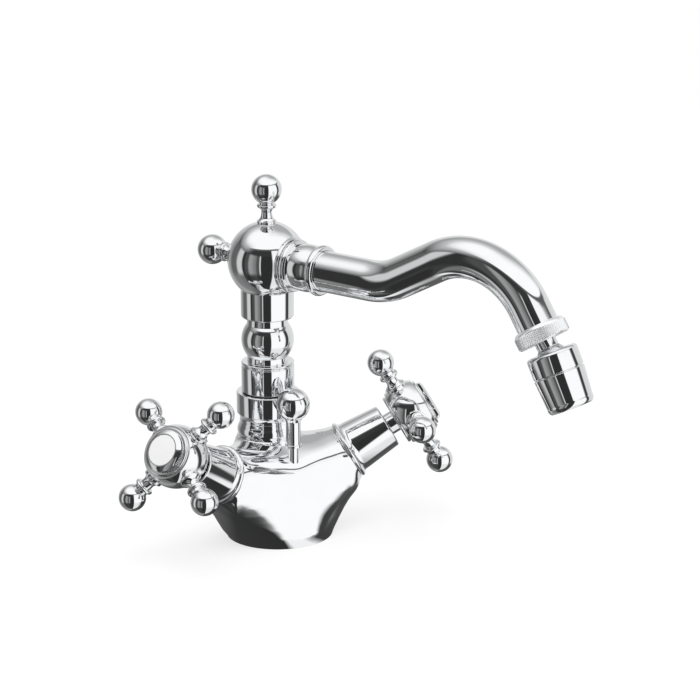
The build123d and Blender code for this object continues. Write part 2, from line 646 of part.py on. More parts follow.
def spout_head():
    """Ball head with flats for the column, the socket and the finials, bored through for the water."""
    size = 2 * HEAD_DIAMETER
    head = Pos(0, 0, HEAD_CENTRE) * Sphere(HEAD_DIAMETER / 2)
    head -= Pos(0, 0, HEAD_FLAT - size / 2) * Box(size, size, size)
    head -= rod(COLUMN_SPIGOT_DIAMETER + 2 * SEAT_GAP, HEAD_FLAT, HEAD_FLAT + COLUMN_SPIGOT_HEIGHT + SEAT_GAP)
    head -= rod(COLUMN_BORE_DIAMETER, HEAD_FLAT, HEAD_CENTRE)
    head = COLUMN_AXIS * head
    head -= SPOUT_AXIS * Pos(0, 0, SOCKET_SEAT + size / 2) * Box(size, size, size)
    head -= SPOUT_AXIS * rod(
        SOCKET_SPIGOT_DIAMETER + 2 * SEAT_GAP, SOCKET_SEAT - SOCKET_SPIGOT_LENGTH - SEAT_GAP, SOCKET_SEAT
    )
    head -= SPOUT_AXIS * rod(COLUMN_BORE_DIAMETER, 0, SOCKET_SEAT)
    for axis in (TOP_AXIS, BACK_AXIS):
        head -= axis * Pos(0, 0, FINIAL_SEAT + size / 2) * Box(size, size, size)
        head -= axis * rod(
            FINIAL_PIN_DIAMETER + 2 * SEAT_GAP, FINIAL_SEAT - FINIAL_PIN_LENGTH - SEAT_GAP, FINIAL_SEAT
        )
    return head


def finial(length):
    """Turned ball finial: pin, foot, hollow neck, ring and ball."""
    pin = FINIAL_PIN_DIAMETER / 2
    foot = FINIAL_FOOT_DIAMETER / 2
    neck = FINIAL_NECK_DIAMETER / 2
    collet = FINIAL_COLLET_DIAMETER / 2
    ball = FINIAL_BALL_DIAMETER / 2
    foot_top = FINIAL_SEAT + FINIAL_FOOT_HEIGHT
    ball_out = FINIAL_SEAT + length
    ring_top = ball_out - FINIAL_RING_BELOW_BALL + FINIAL_RING_WIDTH / 2
    ring_bottom = ring_top - FINIAL_RING_WIDTH
    neck_at = (foot_top + ring_bottom) / 2
    return turned(
        (0, FINIAL_SEAT - FINIAL_PIN_LENGTH),
        (pin, FINIAL_SEAT - FINIAL_PIN_LENGTH),
        (pin, FINIAL_SEAT),
        (foot, FINIAL_SEAT),
        (foot, foot_top),
        (neck, neck_at, -FINIAL_COVE_RADIUS),
        (collet, ring_bottom, -FINIAL_COVE_RADIUS),
        *bead(FINIAL_RING_DIAMETER, ring_bottom, FINIAL_RING_WIDTH),
        (collet, ring_top),
        (collet, ball_out - ball_chord(FINIAL_BALL_DIAMETER, FINIAL_COLLET_DIAMETER)),
        (ball, ball_out, ball),
        (0, ball_out + ball, ball),
    )


SOCKET_BARREL_START = SOCKET_SEAT + 2 * SOCKET_BEAD_WIDTH + 2 * SOCKET_GROOVE_WIDTH
SOCKET_BARREL_END = SOCKET_BARREL_START + SOCKET_BARREL_LENGTH
SOCKET_END = SOCKET_BARREL_END + SOCKET_GROOVE_WIDTH + SOCKET_END_WIDTH


def spout_socket():
    """Turned ferrule: spigot, two beads against the head, swelling barrel and end ring."""
    spigot = SOCKET_SPIGOT_DIAMETER / 2
    flange = ball_chord(HEAD_DIAMETER, 2 * SOCKET_SEAT)
    groove = SPOUT_DIAMETER / 2 + SOCKET_GROOVE_OVERHANG
    waist = SPOUT_DIAMETER / 2 + SOCKET_WAIST_OVERHANG
    second_bead = SPOUT_DIAMETER / 2 + SOCKET_SECOND_OVERHANG
    first = SOCKET_SEAT + SOCKET_BEAD_WIDTH
    second = first + SOCKET_GROOVE_WIDTH
    end_bottom = SOCKET_BARREL_END + SOCKET_GROOVE_WIDTH
    end = SPOUT_DIAMETER / 2 + SOCKET_END_OVERHANG
    bore = SPOUT_DIAMETER / 2 - SOCKET_BORE_DRAW_IN
    tube = SPOUT_DIAMETER / 2 + SEAT_GAP
    entry = SOCKET_END - SPOUT_ENTRY
    return turned(
        (bore, SOCKET_SEAT - SOCKET_SPIGOT_LENGTH),
        (spigot, SOCKET_SEAT - SOCKET_SPIGOT_LENGTH),
        (spigot, SOCKET_SEAT),
        (flange, SOCKET_SEAT),
        (flange, first, SOCKET_BEAD_WIDTH),
        (groove, first),
        (groove, second),
        (second_bead, second),
        (second_bead, second + SOCKET_BEAD_WIDTH, SOCKET_BEAD_WIDTH),
        (waist, second + SOCKET_BEAD_WIDTH),
        (waist, SOCKET_BARREL_START),
        (waist, SOCKET_BARREL_END, SOCKET_BARREL_ROUND),
        (waist, end_bottom),
        (end - SOCKET_END_SWELL, end_bottom),
        (end - SOCKET_END_SWELL, SOCKET_END, SOCKET_END_ROUND),
        (tube, SOCKET_END),
        (tube, entry),
        (bore, entry),
    )


def spout_tube():
    """S-shaped tube on straight runs and tangent arcs."""
    start = Vector(SOCKET_END - SPOUT_ENTRY, HEAD_CENTRE)
    path = SPOUT_PLANE * FilletPolyline(
        (start.X, start.Y),
        (FIRST_CORNER.X, FIRST_CORNER.Y),
        (CREST_CORNER.X, CREST_CORNER.Y),
        (SPOUT_END.X, SPOUT_END.Y),
        radius=(SPOUT_LOW_RADIUS, SPOUT_TOP_RADIUS),
    )
    mouth = Plane(origin=path @ 0, z_dir=path % 0)
    outside = sweep(mouth * Circle(SPOUT_DIAMETER / 2), path)
    inside = sweep(mouth * Circle(SPOUT_DIAMETER / 2 - SPOUT_WALL), path)
    return outside - inside


# Knurled nut and swivel jet
LIP_AT = NUT_HEIGHT - NUT_LIP


def aerator_nut():
    outer = SPOUT_DIAMETER / 2 + NUT_WALL
    opening = STEM_DIAMETER / 2 + NUT_OPENING_GAP
    thread = SPOUT_DIAMETER / 2 + SEAT_GAP
    return turned(
        (thread, 0),
        (outer - NUT_CHAMFER, 0),
        (outer, NUT_CHAMFER),
        (outer, NUT_HEIGHT - NUT_CHAMFER),
        (outer - NUT_CHAMFER, NUT_HEIGHT),
        (opening, NUT_HEIGHT),
        (opening, LIP_AT),
        (thread, LIP_AT),
    )


def aerator_gasket():
    return ring(SPOUT_DIAMETER, SPOUT_DIAMETER - 2 * GASKET_WIDTH, NUT_OVERLAP, GASKET_HEIGHT)


def aerator_ball():
    """Flanged stem with the ball that the jet swivels on, bored through."""
    flange = SPOUT_DIAMETER / 2 - RUNNING_GAP
    stem = STEM_DIAMETER / 2
    bore = STEM_BORE_DIAMETER / 2
    ball = JET_BALL_DIAMETER / 2
    centre = NUT_HEIGHT + JET_BALL_DROP
    flat_at = ball - JET_BALL_CUT
    flat = sqrt(ball**2 - flat_at**2)
    return turned(
        (bore, NUT_OVERLAP + GASKET_HEIGHT + RUNNING_GAP),
        (flange, NUT_OVERLAP + GASKET_HEIGHT + RUNNING_GAP),
        (flange, LIP_AT - RUNNING_GAP),
        (stem, LIP_AT - RUNNING_GAP),
        (stem, centre - ball_chord(JET_BALL_DIAMETER, STEM_DIAMETER)),
        (ball, centre, ball),
        (flat, centre + flat_at, ball),
        (bore, centre + flat_at),
    )


JET_SOCKET = JET_BALL_DIAMETER / 2 + RUNNING_GAP
COLLAR_END = COLLAR_HEIGHT - COLLAR_ABOVE_BALL


def aerator_collar():
    """Upper part of the jet, whose lip holds the ball."""
    outer = JET_DIAMETER / 2
    lip = sqrt(JET_SOCKET**2 - COLLAR_ABOVE_BALL**2)
    thread = JET_THREAD_DIAMETER / 2 + SEAT_GAP
    shoulder = COLLAR_END - SLEEVE_SPIGOT_LENGTH - SEAT_GAP
    return turned(
        (lip, -COLLAR_ABOVE_BALL, -JET_SOCKET),
        (outer - COLLAR_EDGE_RADIUS, -COLLAR_ABOVE_BALL),
        (outer, COLLAR_EDGE_RADIUS - COLLAR_ABOVE_BALL, COLLAR_EDGE_RADIUS),
        (outer, COLLAR_END),
        (thread, COLLAR_END),
        (thread, shoulder),
        (JET_SOCKET, shoulder),
        (JET_SOCKET, 0),
    )


SLEEVE_END = COLLAR_END + SLEEVE_LENGTH


def aerator_sleeve():
    """Lower part of the jet, tapering to a rounded mouth."""
    spigot = JET_THREAD_DIAMETER / 2
    outer = JET_DIAMETER / 2
    groove = outer - JET_GROOVE_DEPTH
    end = SLEEVE_END_DIAMETER / 2
    seat = SEAT_DIAMETER / 2 + SEAT_GAP
    ledge = SEAT_DIAMETER / 2 - SEAT_LEDGE_WIDTH
    mouth = SLEEVE_MOUTH_DIAMETER / 2
    return turned(
        (seat, COLLAR_END - SLEEVE_SPIGOT_LENGTH),
        (spigot, COLLAR_END - SLEEVE_SPIGOT_LENGTH),
        (spigot, COLLAR_END),
        (groove, COLLAR_END),
        (groove, COLLAR_END + JET_GROOVE_WIDTH),
        (outer, COLLAR_END + JET_GROOVE_WIDTH),
        (end, SLEEVE_END - SLEEVE_END_ROUND),
        (mouth, SLEEVE_END, SLEEVE_END_ROUND),
        (mouth, SEAT_BOTTOM + SEAT_LEDGE_HEIGHT),
        (ledge, SEAT_BOTTOM + SEAT_LEDGE_HEIGHT),
        (ledge, SEAT_BOTTOM),
        (seat, SEAT_BOTTOM),
    )


def ball_seat():
    low = sqrt(JET_SOCKET**2 - SEAT_TOP**2)
    bore = SEAT_BORE_DIAMETER / 2
    bore_at = sqrt(JET_SOCKET**2 - bore**2)
    return turned(
        (bore, bore_at, JET_SOCKET),
        (bore, SEAT_BOTTOM),
        (SEAT_DIAMETER / 2, SEAT_BOTTOM),
        (SEAT_DIAMETER / 2, SEAT_TOP),
        (low, SEAT_TOP),
    )


def flow_insert():
    """Perforated flow straightener in the mouth of the jet."""
    top = SLEEVE_END - INSERT_INSET - INSERT_HEIGHT
    insert = rod(SLEEVE_MOUTH_DIAMETER - 2 * SEAT_GAP, top, top + INSERT_HEIGHT)
    for circle, count in enumerate(INSERT_HOLE_COUNTS):
        hole = Pos(circle * INSERT_HOLE_PITCH, 0, 0) * rod(INSERT_HOLE_DIAMETER, top, top + INSERT_HEIGHT)
        for step in range(count):
            insert -= Rot(0, 0, 360 / count * step) * hole
    return insert


# Valve pieces, modelled along the valve axis
FIXED_DISC_AT = VALVE_SEAT_AT + SEAT_SEAL_HEIGHT
TURNING_DISC_AT = FIXED_DISC_AT + DISC_THICKNESS + FILM_GAP
DRIVER_AT = TURNING_DISC_AT + DISC_THICKNESS + FILM_GAP
DRIVER_TOP = DRIVER_AT + DRIVER_HEIGHT
DISC_DIAMETER = VALVE_BORE_DIAMETER - 2 * HOUSING_WALL - 2 * SEAT_GAP - 2 * RUNNING_GAP


def valve_housing():
    """Brass headwork: skirt round the discs, flange on the arm, neck round the spindle."""
    skirt = VALVE_BORE_DIAMETER / 2 - SEAT_GAP
    inside = skirt - HOUSING_WALL
    shaft = SPINDLE_DIAMETER / 2 + RUNNING_GAP
    flange_top = ARM_FACE_AT + HOUSING_FLANGE_HEIGHT
    ceiling = DRIVER_TOP + RUNNING_GAP
    housing = turned(
        (inside, VALVE_SEAT_AT),
        (skirt, VALVE_SEAT_AT),
        (skirt, ARM_FACE_AT),
        (HOUSING_FLANGE_DIAMETER / 2, ARM_FACE_AT),
        (HOUSING_FLANGE_DIAMETER / 2, flange_top),
        (HOUSING_NECK_DIAMETER / 2, flange_top),
        (HOUSING_NECK_DIAMETER / 2, HOUSING_NECK_END_AT),
        (shaft, HOUSING_NECK_END_AT),
        (shaft, ceiling),
        (inside, ceiling),
    )
    port = Rot(90, 0, 0) * Cylinder(HOUSING_PORT_DIAMETER / 2, 2 * VALVE_BORE_DIAMETER)
    port = Pos(0, 0, (DRIVER_AT + DRIVER_TOP) / 2) * port
    return housing - port - Rot(0, 0, 90) * port


def seat_seal():
    return ring(DISC_DIAMETER, SEAT_SEAL_BORE, VALVE_SEAT_AT, SEAT_SEAL_HEIGHT)


def ceramic_disc(at):
    """Ceramic disc with two ports."""
    disc = rod(DISC_DIAMETER, at, at + DISC_THICKNESS)
    for side in (-1, 1):
        disc -= Pos(side * DISC_PORT_OFFSET, 0, 0) * rod(DISC_PORT_DIAMETER, at, at + DISC_THICKNESS)
    return disc


def key(width_gap, bottom, top):
    """Bar across the driver that turns the upper disc."""
    height = top - bottom
    return Pos(0, 0, (bottom + top) / 2) * Box(
        DRIVER_KEY_WIDTH + width_gap, DRIVER_KEY_LENGTH + width_gap, height
    )


def turning_disc():
    slot = key(2 * SEAT_GAP, DRIVER_AT - FILM_GAP - DRIVER_KEY_DEPTH - SEAT_GAP, DRIVER_AT)
    return ceramic_disc(TURNING_DISC_AT) - slot


def spindle():
    """Spindle with the driver and its key below and the screw's hole above."""
    shaft = SPINDLE_DIAMETER / 2
    turned_spindle = turned(
        (0, DRIVER_AT),
        (DISC_DIAMETER / 2, DRIVER_AT),
        (DISC_DIAMETER / 2, DRIVER_TOP),
        (shaft, DRIVER_TOP),
        (shaft, SPINDLE_END_AT),
        (0, SPINDLE_END_AT),
    )
    hole = rod(SCREW_DIAMETER + 2 * SEAT_GAP, SPINDLE_END_AT - SCREW_LENGTH, SPINDLE_END_AT)
    return turned_spindle + key(0, DRIVER_AT - DRIVER_KEY_DEPTH, DRIVER_AT + DRIVER_KEY_DEPTH) - hole


def bonnet():
    """Tapered barrel with a flared foot on the arm."""
    foot = BONNET_FOOT_DIAMETER / 2
    barrel = BONNET_BARREL_DIAMETER / 2
    end = barrel - BONNET_TAPER
    foot_top = ARM_FACE_AT + BONNET_FOOT_HEIGHT
    step = BONNET_FOOT_HEIGHT / 2
    cavity = HOUSING_FLANGE_DIAMETER / 2 + FREE_GAP / 2
    mouth = end - BONNET_WALL
    opening = SPINDLE_DIAMETER / 2 + BONNET_OPENING_GAP
    ceiling = HOUSING_NECK_END_AT
    flange_top = ARM_FACE_AT + HOUSING_FLANGE_HEIGHT
    return turned(
        (cavity, ARM_FACE_AT),
        (foot - step, ARM_FACE_AT),
        (foot, ARM_FACE_AT + step, BONNET_FOOT_ROUND),
        (foot - step, foot_top, BONNET_FOOT_ROUND),
        (barrel, foot_top + BONNET_COVE_HEIGHT, -BONNET_COVE_RADIUS),
        (end, BONNET_END_AT - BONNET_EDGE_RADIUS),
        (end - BONNET_EDGE_RADIUS, BONNET_END_AT, BONNET_EDGE_RADIUS),
        (opening, BONNET_END_AT),
        (opening, ceiling),
        (mouth, ceiling),
        (mouth, flange_top + FREE_GAP),
        (cavity, flange_top + FREE_GAP),
    )


# Cross handle, modelled along the valve axis
RECESS_FLOOR = SPINDLE_END_AT + SEAT_GAP + HUB_WEB
CAP_BOTTOM = HUB_FRONT_AT


def hub():
    """Turned hub: neck, rounded rim, ball body, bosses for the arms and a recess for the screw."""
    neck = SPINDLE_DIAMETER / 2 + HUB_NECK_WALL
    rim = HUB_RIM_DIAMETER / 2
    groove = rim - HUB_GROOVE_DEPTH
    rim_round = HUB_RIM_HEIGHT / 2
    rim_top = HUB_BACK_AT + HUB_RIM_HEIGHT
    ball = HUB_DIAMETER / 2
    bore = SPINDLE_DIAMETER / 2 + SEAT_GAP
    neck_end = BONNET_END_AT + HUB_GAP
    body = turned(
        (0, neck_end),
        (neck, neck_end),
        (neck, HUB_BACK_AT),
        (rim - rim_round, HUB_BACK_AT),
        (rim, HUB_BACK_AT + rim_round, rim_round),
        (groove, rim_top, rim_round),
        (ball_chord(HUB_DIAMETER, 2 * (CROSS_AT - rim_top)), rim_top),
        (ball, CROSS_AT, ball),
        (ball_chord(HUB_DIAMETER, 2 * (HUB_FRONT_AT - CROSS_AT)), HUB_FRONT_AT, ball),
        (0, HUB_FRONT_AT),
    )
    boss = Rot(0, 90, 0) * rod(ARM_ROOT_DIAMETER, 0, ARM_SEAT_AT)
    hole = Rot(0, 90, 0) * rod(
        ARM_PIN_DIAMETER + 2 * SEAT_GAP, ARM_SEAT_AT - ARM_PIN_LENGTH - SEAT_GAP, ARM_SEAT_AT
    )
    for step in range(ARM_COUNT):
        turn = Pos(0, 0, CROSS_AT) * Rot(0, 0, 360 / ARM_COUNT * step)
        body = body + turn * boss - turn * hole
    body -= rod(2 * bore, neck_end, SPINDLE_END_AT + SEAT_GAP)
    body -= rod(SCREW_DIAMETER + 2 * SEAT_GAP, SPINDLE_END_AT, RECESS_FLOOR)
    body -= rod(HUB_RECESS_DIAMETER, RECESS_FLOOR, HUB_FRONT_AT)
    return body


def cross_arm():
    """Turned arm along Z: pin, root, hollow neck, bead and ball."""
    pin = ARM_PIN_DIAMETER / 2
    root = ARM_ROOT_DIAMETER / 2
    neck = ARM_NECK_DIAMETER / 2
    collet = ARM_COLLET_DIAMETER / 2
    ball = ARM_BALL_DIAMETER / 2
    bead_bottom = ARM_SEAT_AT + ARM_BEAD_OUT - ARM_BEAD_WIDTH / 2
    bead_top = bead_bottom + ARM_BEAD_WIDTH
    ball_centre = ARM_SEAT_AT + ARM_BALL_OUT
    return turned(
        (0, ARM_SEAT_AT - ARM_PIN_LENGTH),
        (pin, ARM_SEAT_AT - ARM_PIN_LENGTH),
        (pin, ARM_SEAT_AT),
        (root, ARM_SEAT_AT),
        (root, ARM_SEAT_AT + ARM_ROOT_WIDTH),
        (neck, ARM_SEAT_AT + ARM_NECK_OUT, -ARM_COVE_RADIUS),
        (neck, bead_bottom),
        *bead(ARM_BEAD_DIAMETER, bead_bottom, ARM_BEAD_WIDTH),
        (collet, bead_top),
        (collet, ball_centre - ball_chord(ARM_BALL_DIAMETER, ARM_COLLET_DIAMETER)),
        (ball, ball_centre, ball),
        (0, ball_centre + ball, ball),
    )


def cross_arms():
    arm = Rot(0, 90, 0) * cross_arm()
    arms = [Pos(0, 0, CROSS_AT) * Rot(0, 0, 360 / ARM_COUNT * step) * arm for step in range(ARM_COUNT)]
    return Compound(arms)


def cap():
    """Screw cap: spigot, bead, groove, milled band and rounded shoulder round the disc's recess."""
    spigot = HUB_RECESS_DIAMETER / 2 - SEAT_GAP
    groove = CAP_CORE_DIAMETER / 2 + CAP_GROOVE_OVERHANG
    band = CAP_BAND_DIAMETER / 2
    recess = INDEX_DISC_DIAMETER / 2 + SEAT_GAP
    bead_top = CAP_BOTTOM + CAP_BEAD_WIDTH
    band_bottom = bead_top + CAP_GROOVE_WIDTH
    band_top = band_bottom + CAP_BAND_WIDTH
    rim = recess + INDEX_RIM
    return turned(
        (0, CAP_BOTTOM - CAP_SPIGOT_HEIGHT),
        (spigot, CAP_BOTTOM - CAP_SPIGOT_HEIGHT),
        (spigot, CAP_BOTTOM),
        *bead(CAP_CORE_DIAMETER + 2 * CAP_BEAD_OVERHANG, CAP_BOTTOM, CAP_BEAD_WIDTH),
        (groove, bead_top),
        (groove, band_bottom),
        (band, band_bottom),
        (band, band_top),
        (rim, CAP_FACE_AT, band - rim),
        (recess, CAP_FACE_AT),
        (recess, CAP_FACE_AT - INDEX_DISC_THICKNESS),
        (0, CAP_FACE_AT - INDEX_DISC_THICKNESS),
    )


def index_disc():
    return rod(INDEX_DISC_DIAMETER, CAP_FACE_AT - INDEX_DISC_THICKNESS, CAP_FACE_AT)


def handle_screw():
    """Cheese-head screw with a slot."""
    head_top = RECESS_FLOOR + SCREW_HEAD_HEIGHT
    screw = rod(SCREW_DIAMETER, RECESS_FLOOR - SCREW_LENGTH, RECESS_FLOOR)
    screw += rod(SCREW_HEAD_DIAMETER, RECESS_FLOOR, head_top)
    return screw - Pos(0, 0, head_top) * Box(SCREW_SLOT_WIDTH, SCREW_HEAD_DIAMETER, 2 * SCREW_SLOT_DEPTH)


# Pop-up knob, rod and guide
def lift_knob():
    """Ball knob on a collar and a sleeve that takes the rod."""
    ball = KNOB_DIAMETER / 2
    sleeve = ROD_DIAMETER / 2 + KNOB_SLEEVE_WALL
    foot = sleeve + KNOB_FOOT_OVERHANG
    collar = KNOB_COLLAR_DIAMETER / 2
    hole = ROD_DIAMETER / 2 + SEAT_GAP
    collar_top = KNOB_CENTRE - ball_chord(KNOB_DIAMETER, KNOB_COLLAR_DIAMETER)
    return turned(
        (hole, KNOB_SLEEVE_BOTTOM),
        (foot, KNOB_SLEEVE_BOTTOM),
        (foot, KNOB_SLEEVE_BOTTOM + KNOB_FOOT_HEIGHT),
        (sleeve, KNOB_SLEEVE_BOTTOM + KNOB_FOOT_HEIGHT),
        (sleeve, collar_top - KNOB_COLLAR_HEIGHT),
        (collar, collar_top),
        (ball, KNOB_CENTRE, ball),
        (0, KNOB_CENTRE + ball, ball),
        (0, KNOB_SLEEVE_BOTTOM + ROD_INTO_KNOB),
        (hole, KNOB_SLEEVE_BOTTOM + ROD_INTO_KNOB),
    )


def lift_rod():
    return rod(ROD_DIAMETER, ROD_BOTTOM, KNOB_SLEEVE_BOTTOM + ROD_INTO_KNOB)


def rod_guide():
    return ring(GUIDE_DIAMETER, ROD_DIAMETER + 2 * RUNNING_GAP, GUIDE_TOP - GUIDE_HEIGHT, GUIDE_HEIGHT)


nodes = {
    "mixer_body": mixer_body(),
    "base_gasket": base_gasket(),
    "retaining_ring": COLUMN_AXIS * retaining_ring(),
    "column_bush": COLUMN_AXIS * column_bush(),
    "column_clip": COLUMN_AXIS * column_clip(),
    "column_o_rings": COLUMN_AXIS * column_o_rings(),
    "column": COLUMN_AXIS * column(),
    "spout_head": spout_head(),
    "top_finial": TOP_AXIS * finial(TOP_FINIAL_LENGTH),
    "back_finial": BACK_AXIS * finial(BACK_FINIAL_LENGTH),
    "spout_socket": SPOUT_AXIS * spout_socket(),
    "spout_tube": spout_tube(),
    "aerator_nut": NUT_PLANE * aerator_nut(),
    "aerator_gasket": NUT_PLANE * aerator_gasket(),
    "aerator_ball": NUT_PLANE * aerator_ball(),
    "aerator_collar": JET_PLANE * aerator_collar(),
    "aerator_sleeve": JET_PLANE * aerator_sleeve(),
    "ball_seat": JET_PLANE * ball_seat(),
    "flow_insert": JET_PLANE * flow_insert(),
    "lift_knob": KNOB_AXIS * lift_knob(),
    "lift_rod": KNOB_AXIS * lift_rod(),
    "rod_guide": KNOB_AXIS * rod_guide(),
}

for water, side, cross_turn in (("hot", -1, HOT_CROSS_TURN), ("cold", 1, COLD_CROSS_TURN)):
    axis = valve_plane(side)
    turned_axis = axis * Rot(0, 0, cross_turn)
    nodes[f"{water}_bonnet"] = axis * bonnet()
    nodes[f"{water}_valve_housing"] = axis * valve_housing()
    nodes[f"{water}_seat_seal"] = axis * seat_seal()
    nodes[f"{water}_fixed_disc"] = axis * ceramic_disc(FIXED_DISC_AT)
    nodes[f"{water}_turning_disc"] = axis * turning_disc()
    nodes[f"{water}_spindle"] = axis * spindle()
    nodes[f"{water}_hub"] = turned_axis * hub()
    nodes[f"{water}_cross_arms"] = turned_axis * cross_arms()
    nodes[f"{water}_cap"] = turned_axis * cap()
    nodes[f"{water}_index_disc"] = turned_axis * index_disc()
    nodes[f"{water}_handle_screw"] = turned_axis * handle_screw()

os.makedirs("parts", exist_ok=True)
for name, solid in nodes.items():
    export_step(solid, f"parts/{name}.step")
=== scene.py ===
"""Looks of a chrome basin mixer with cross handles, a turned column, an S-shaped swivel spout,
a swivel jet and a pop-up knob. Sizes are in millimetres and the finished meshes in metres."""

import json
import logging
from dataclasses import dataclass
from enum import Enum
from math import atan2, cos, pi, radians, sin, sqrt, tan

import bmesh
import bpy
from bmesh.types import BMesh
from mathutils import Matrix, Vector


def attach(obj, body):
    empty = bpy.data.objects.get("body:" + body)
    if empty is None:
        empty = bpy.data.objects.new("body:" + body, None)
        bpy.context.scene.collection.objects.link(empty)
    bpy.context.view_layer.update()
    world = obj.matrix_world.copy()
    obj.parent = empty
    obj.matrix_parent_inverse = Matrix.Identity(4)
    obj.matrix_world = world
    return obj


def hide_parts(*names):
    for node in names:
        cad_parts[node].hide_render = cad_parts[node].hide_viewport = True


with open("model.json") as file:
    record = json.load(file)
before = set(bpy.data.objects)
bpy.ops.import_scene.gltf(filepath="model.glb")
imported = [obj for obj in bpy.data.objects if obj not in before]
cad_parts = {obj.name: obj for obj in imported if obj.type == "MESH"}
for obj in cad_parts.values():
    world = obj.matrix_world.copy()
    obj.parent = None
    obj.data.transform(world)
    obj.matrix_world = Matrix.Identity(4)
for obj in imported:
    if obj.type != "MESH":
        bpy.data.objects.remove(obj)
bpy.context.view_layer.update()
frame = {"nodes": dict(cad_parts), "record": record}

logging.basicConfig(level=logging.INFO, format="%(message)s")
log = logging.getLogger("mixer")

MM = 0.001
FIT = 0.05
Point = tuple[float, ...]
Span = tuple[float, float]
Rgb = tuple[float, float, float]
Socket = bpy.types.NodeSocket


class Water(Enum):
    """Side of a valve: the sign of its x direction."""

    HOT = -1
    COLD = 1


class Grain(Enum):
    """Pattern that a finish shows on its surface."""

    CLOUDY = "cloudy"
    TURNED = "turned"


# Finishes
@dataclass(frozen=True)
class Finish:
    """Procedural finish on object coordinates, in which colour, gloss and surface vary together.

    Args:
        slot: Material slot of the record that the finish stands for.
        dark: Colour in the hollows of the pattern.
        light: Colour on the crests of the pattern.
        metallic: 1 for metal and 0 for the rest.
        smooth: Lowest roughness.
        rough: Highest roughness.
        scale: Patterns a metre.
        relief: Height of the surface pattern in metres.
        grain: Pattern of the surface.
    """

    slot: str
    dark: Rgb
    light: Rgb
    metallic: float
    smooth: float
    rough: float
    scale: float
    relief: float
    grain: Grain = Grain.CLOUDY

    def material(self, name: str, centre: Matrix | None = None) -> bpy.types.Material:
        """Builds the node material.

        Args:
            name: Name of the material.
            centre: Place and direction of the axis that a turned pattern runs round.

        Returns:
            The material.
        """
        material = bpy.data.materials.new(name)
        material.use_nodes = True
        tree = material.node_tree
        shader = tree.nodes["Principled BSDF"]
        shader.inputs["Metallic"].default_value = self.metallic
        coords = tree.nodes.new("ShaderNodeTexCoord")
        place = tree.nodes.new("ShaderNodeMapping")
        place.vector_type = "TEXTURE"
        if centre is not None:
            place.inputs["Location"].default_value = centre.to_translation()
            place.inputs["Rotation"].default_value = centre.to_euler()
        tree.links.new(coords.outputs["Object"], place.inputs["Vector"])
        pattern = self.pattern(tree, place.outputs["Vector"])
        tint = tree.nodes.new("ShaderNodeValToRGB")
        tint.color_ramp.elements[0].color = (*self.dark, 1)
        tint.color_ramp.elements[1].color = (*self.light, 1)
        gloss = tree.nodes.new("ShaderNodeMapRange")
        gloss.inputs["To Min"].default_value = self.smooth
        gloss.inputs["To Max"].default_value = self.rough
        bump = tree.nodes.new("ShaderNodeBump")
        bump.inputs["Strength"].default_value = 1.0
        bump.inputs["Distance"].default_value = self.relief
        tree.links.new(pattern, tint.inputs["Fac"])
        tree.links.new(pattern, gloss.inputs["Value"])
        tree.links.new(pattern, bump.inputs["Height"])
        tree.links.new(tint.outputs["Color"], shader.inputs["Base Color"])
        tree.links.new(gloss.outputs["Result"], shader.inputs["Roughness"])
        tree.links.new(bump.outputs["Normal"], shader.inputs["Normal"])
        return material

    def pattern(self, tree: bpy.types.NodeTree, vector: Socket) -> Socket:
        """Adds the nodes of the pattern.

        Args:
            tree: Node tree that takes the nodes.
            vector: Coordinates of the surface.

        Returns:
            Output that runs from 0 to 1.
        """
        if self.grain is Grain.TURNED:
            wave = tree.nodes.new("ShaderNodeTexWave")
            wave.wave_type = "RINGS"
            wave.rings_direction = "Z"
            wave.inputs["Scale"].default_value = self.scale
            wave.inputs["Distortion"].default_value = 1.5
            wave.inputs["Detail"].default_value = 3.0
            tree.links.new(vector, wave.inputs["Vector"])
            return wave.outputs["Fac"]
        noise = tree.nodes.new("ShaderNodeTexNoise")
        noise.inputs["Scale"].default_value = self.scale
        noise.inputs["Detail"].default_value = 4.0
        tree.links.new(vector, noise.inputs["Vector"])
        return noise.outputs["Fac"]


CHROME = Finish("chrome", (0.85, 0.86, 0.87), (0.89, 0.9, 0.91), 1.0, 0.012, 0.05, 90.0, 0.0000012)
KNURLED = Finish("chrome", (0.87, 0.88, 0.89), (0.92, 0.93, 0.94), 0.72, 0.16, 0.26, 400.0, 0.000002)
SATIN = Finish(
    "index_disc", (0.86, 0.86, 0.86), (0.93, 0.93, 0.93), 0.25, 0.3, 0.42, 900.0, 0.000004, Grain.TURNED
)
BRASS = Finish("brass", (0.7, 0.5, 0.2), (0.83, 0.65, 0.33), 1.0, 0.22, 0.4, 500.0, 0.00001)
STEEL = Finish("steel", (0.52, 0.52, 0.54), (0.66, 0.66, 0.68), 1.0, 0.25, 0.42, 600.0, 0.00001)
CERAMIC = Finish("ceramic", (0.88, 0.87, 0.83), (0.95, 0.94, 0.91), 0.0, 0.18, 0.3, 700.0, 0.000005)
RUBBER = Finish("rubber", (0.035, 0.035, 0.035), (0.07, 0.07, 0.07), 0.0, 0.6, 0.85, 1500.0, 0.00002)
ACETAL = Finish("acetal", (0.82, 0.82, 0.79), (0.89, 0.89, 0.87), 0.0, 0.38, 0.52, 800.0, 0.00001)


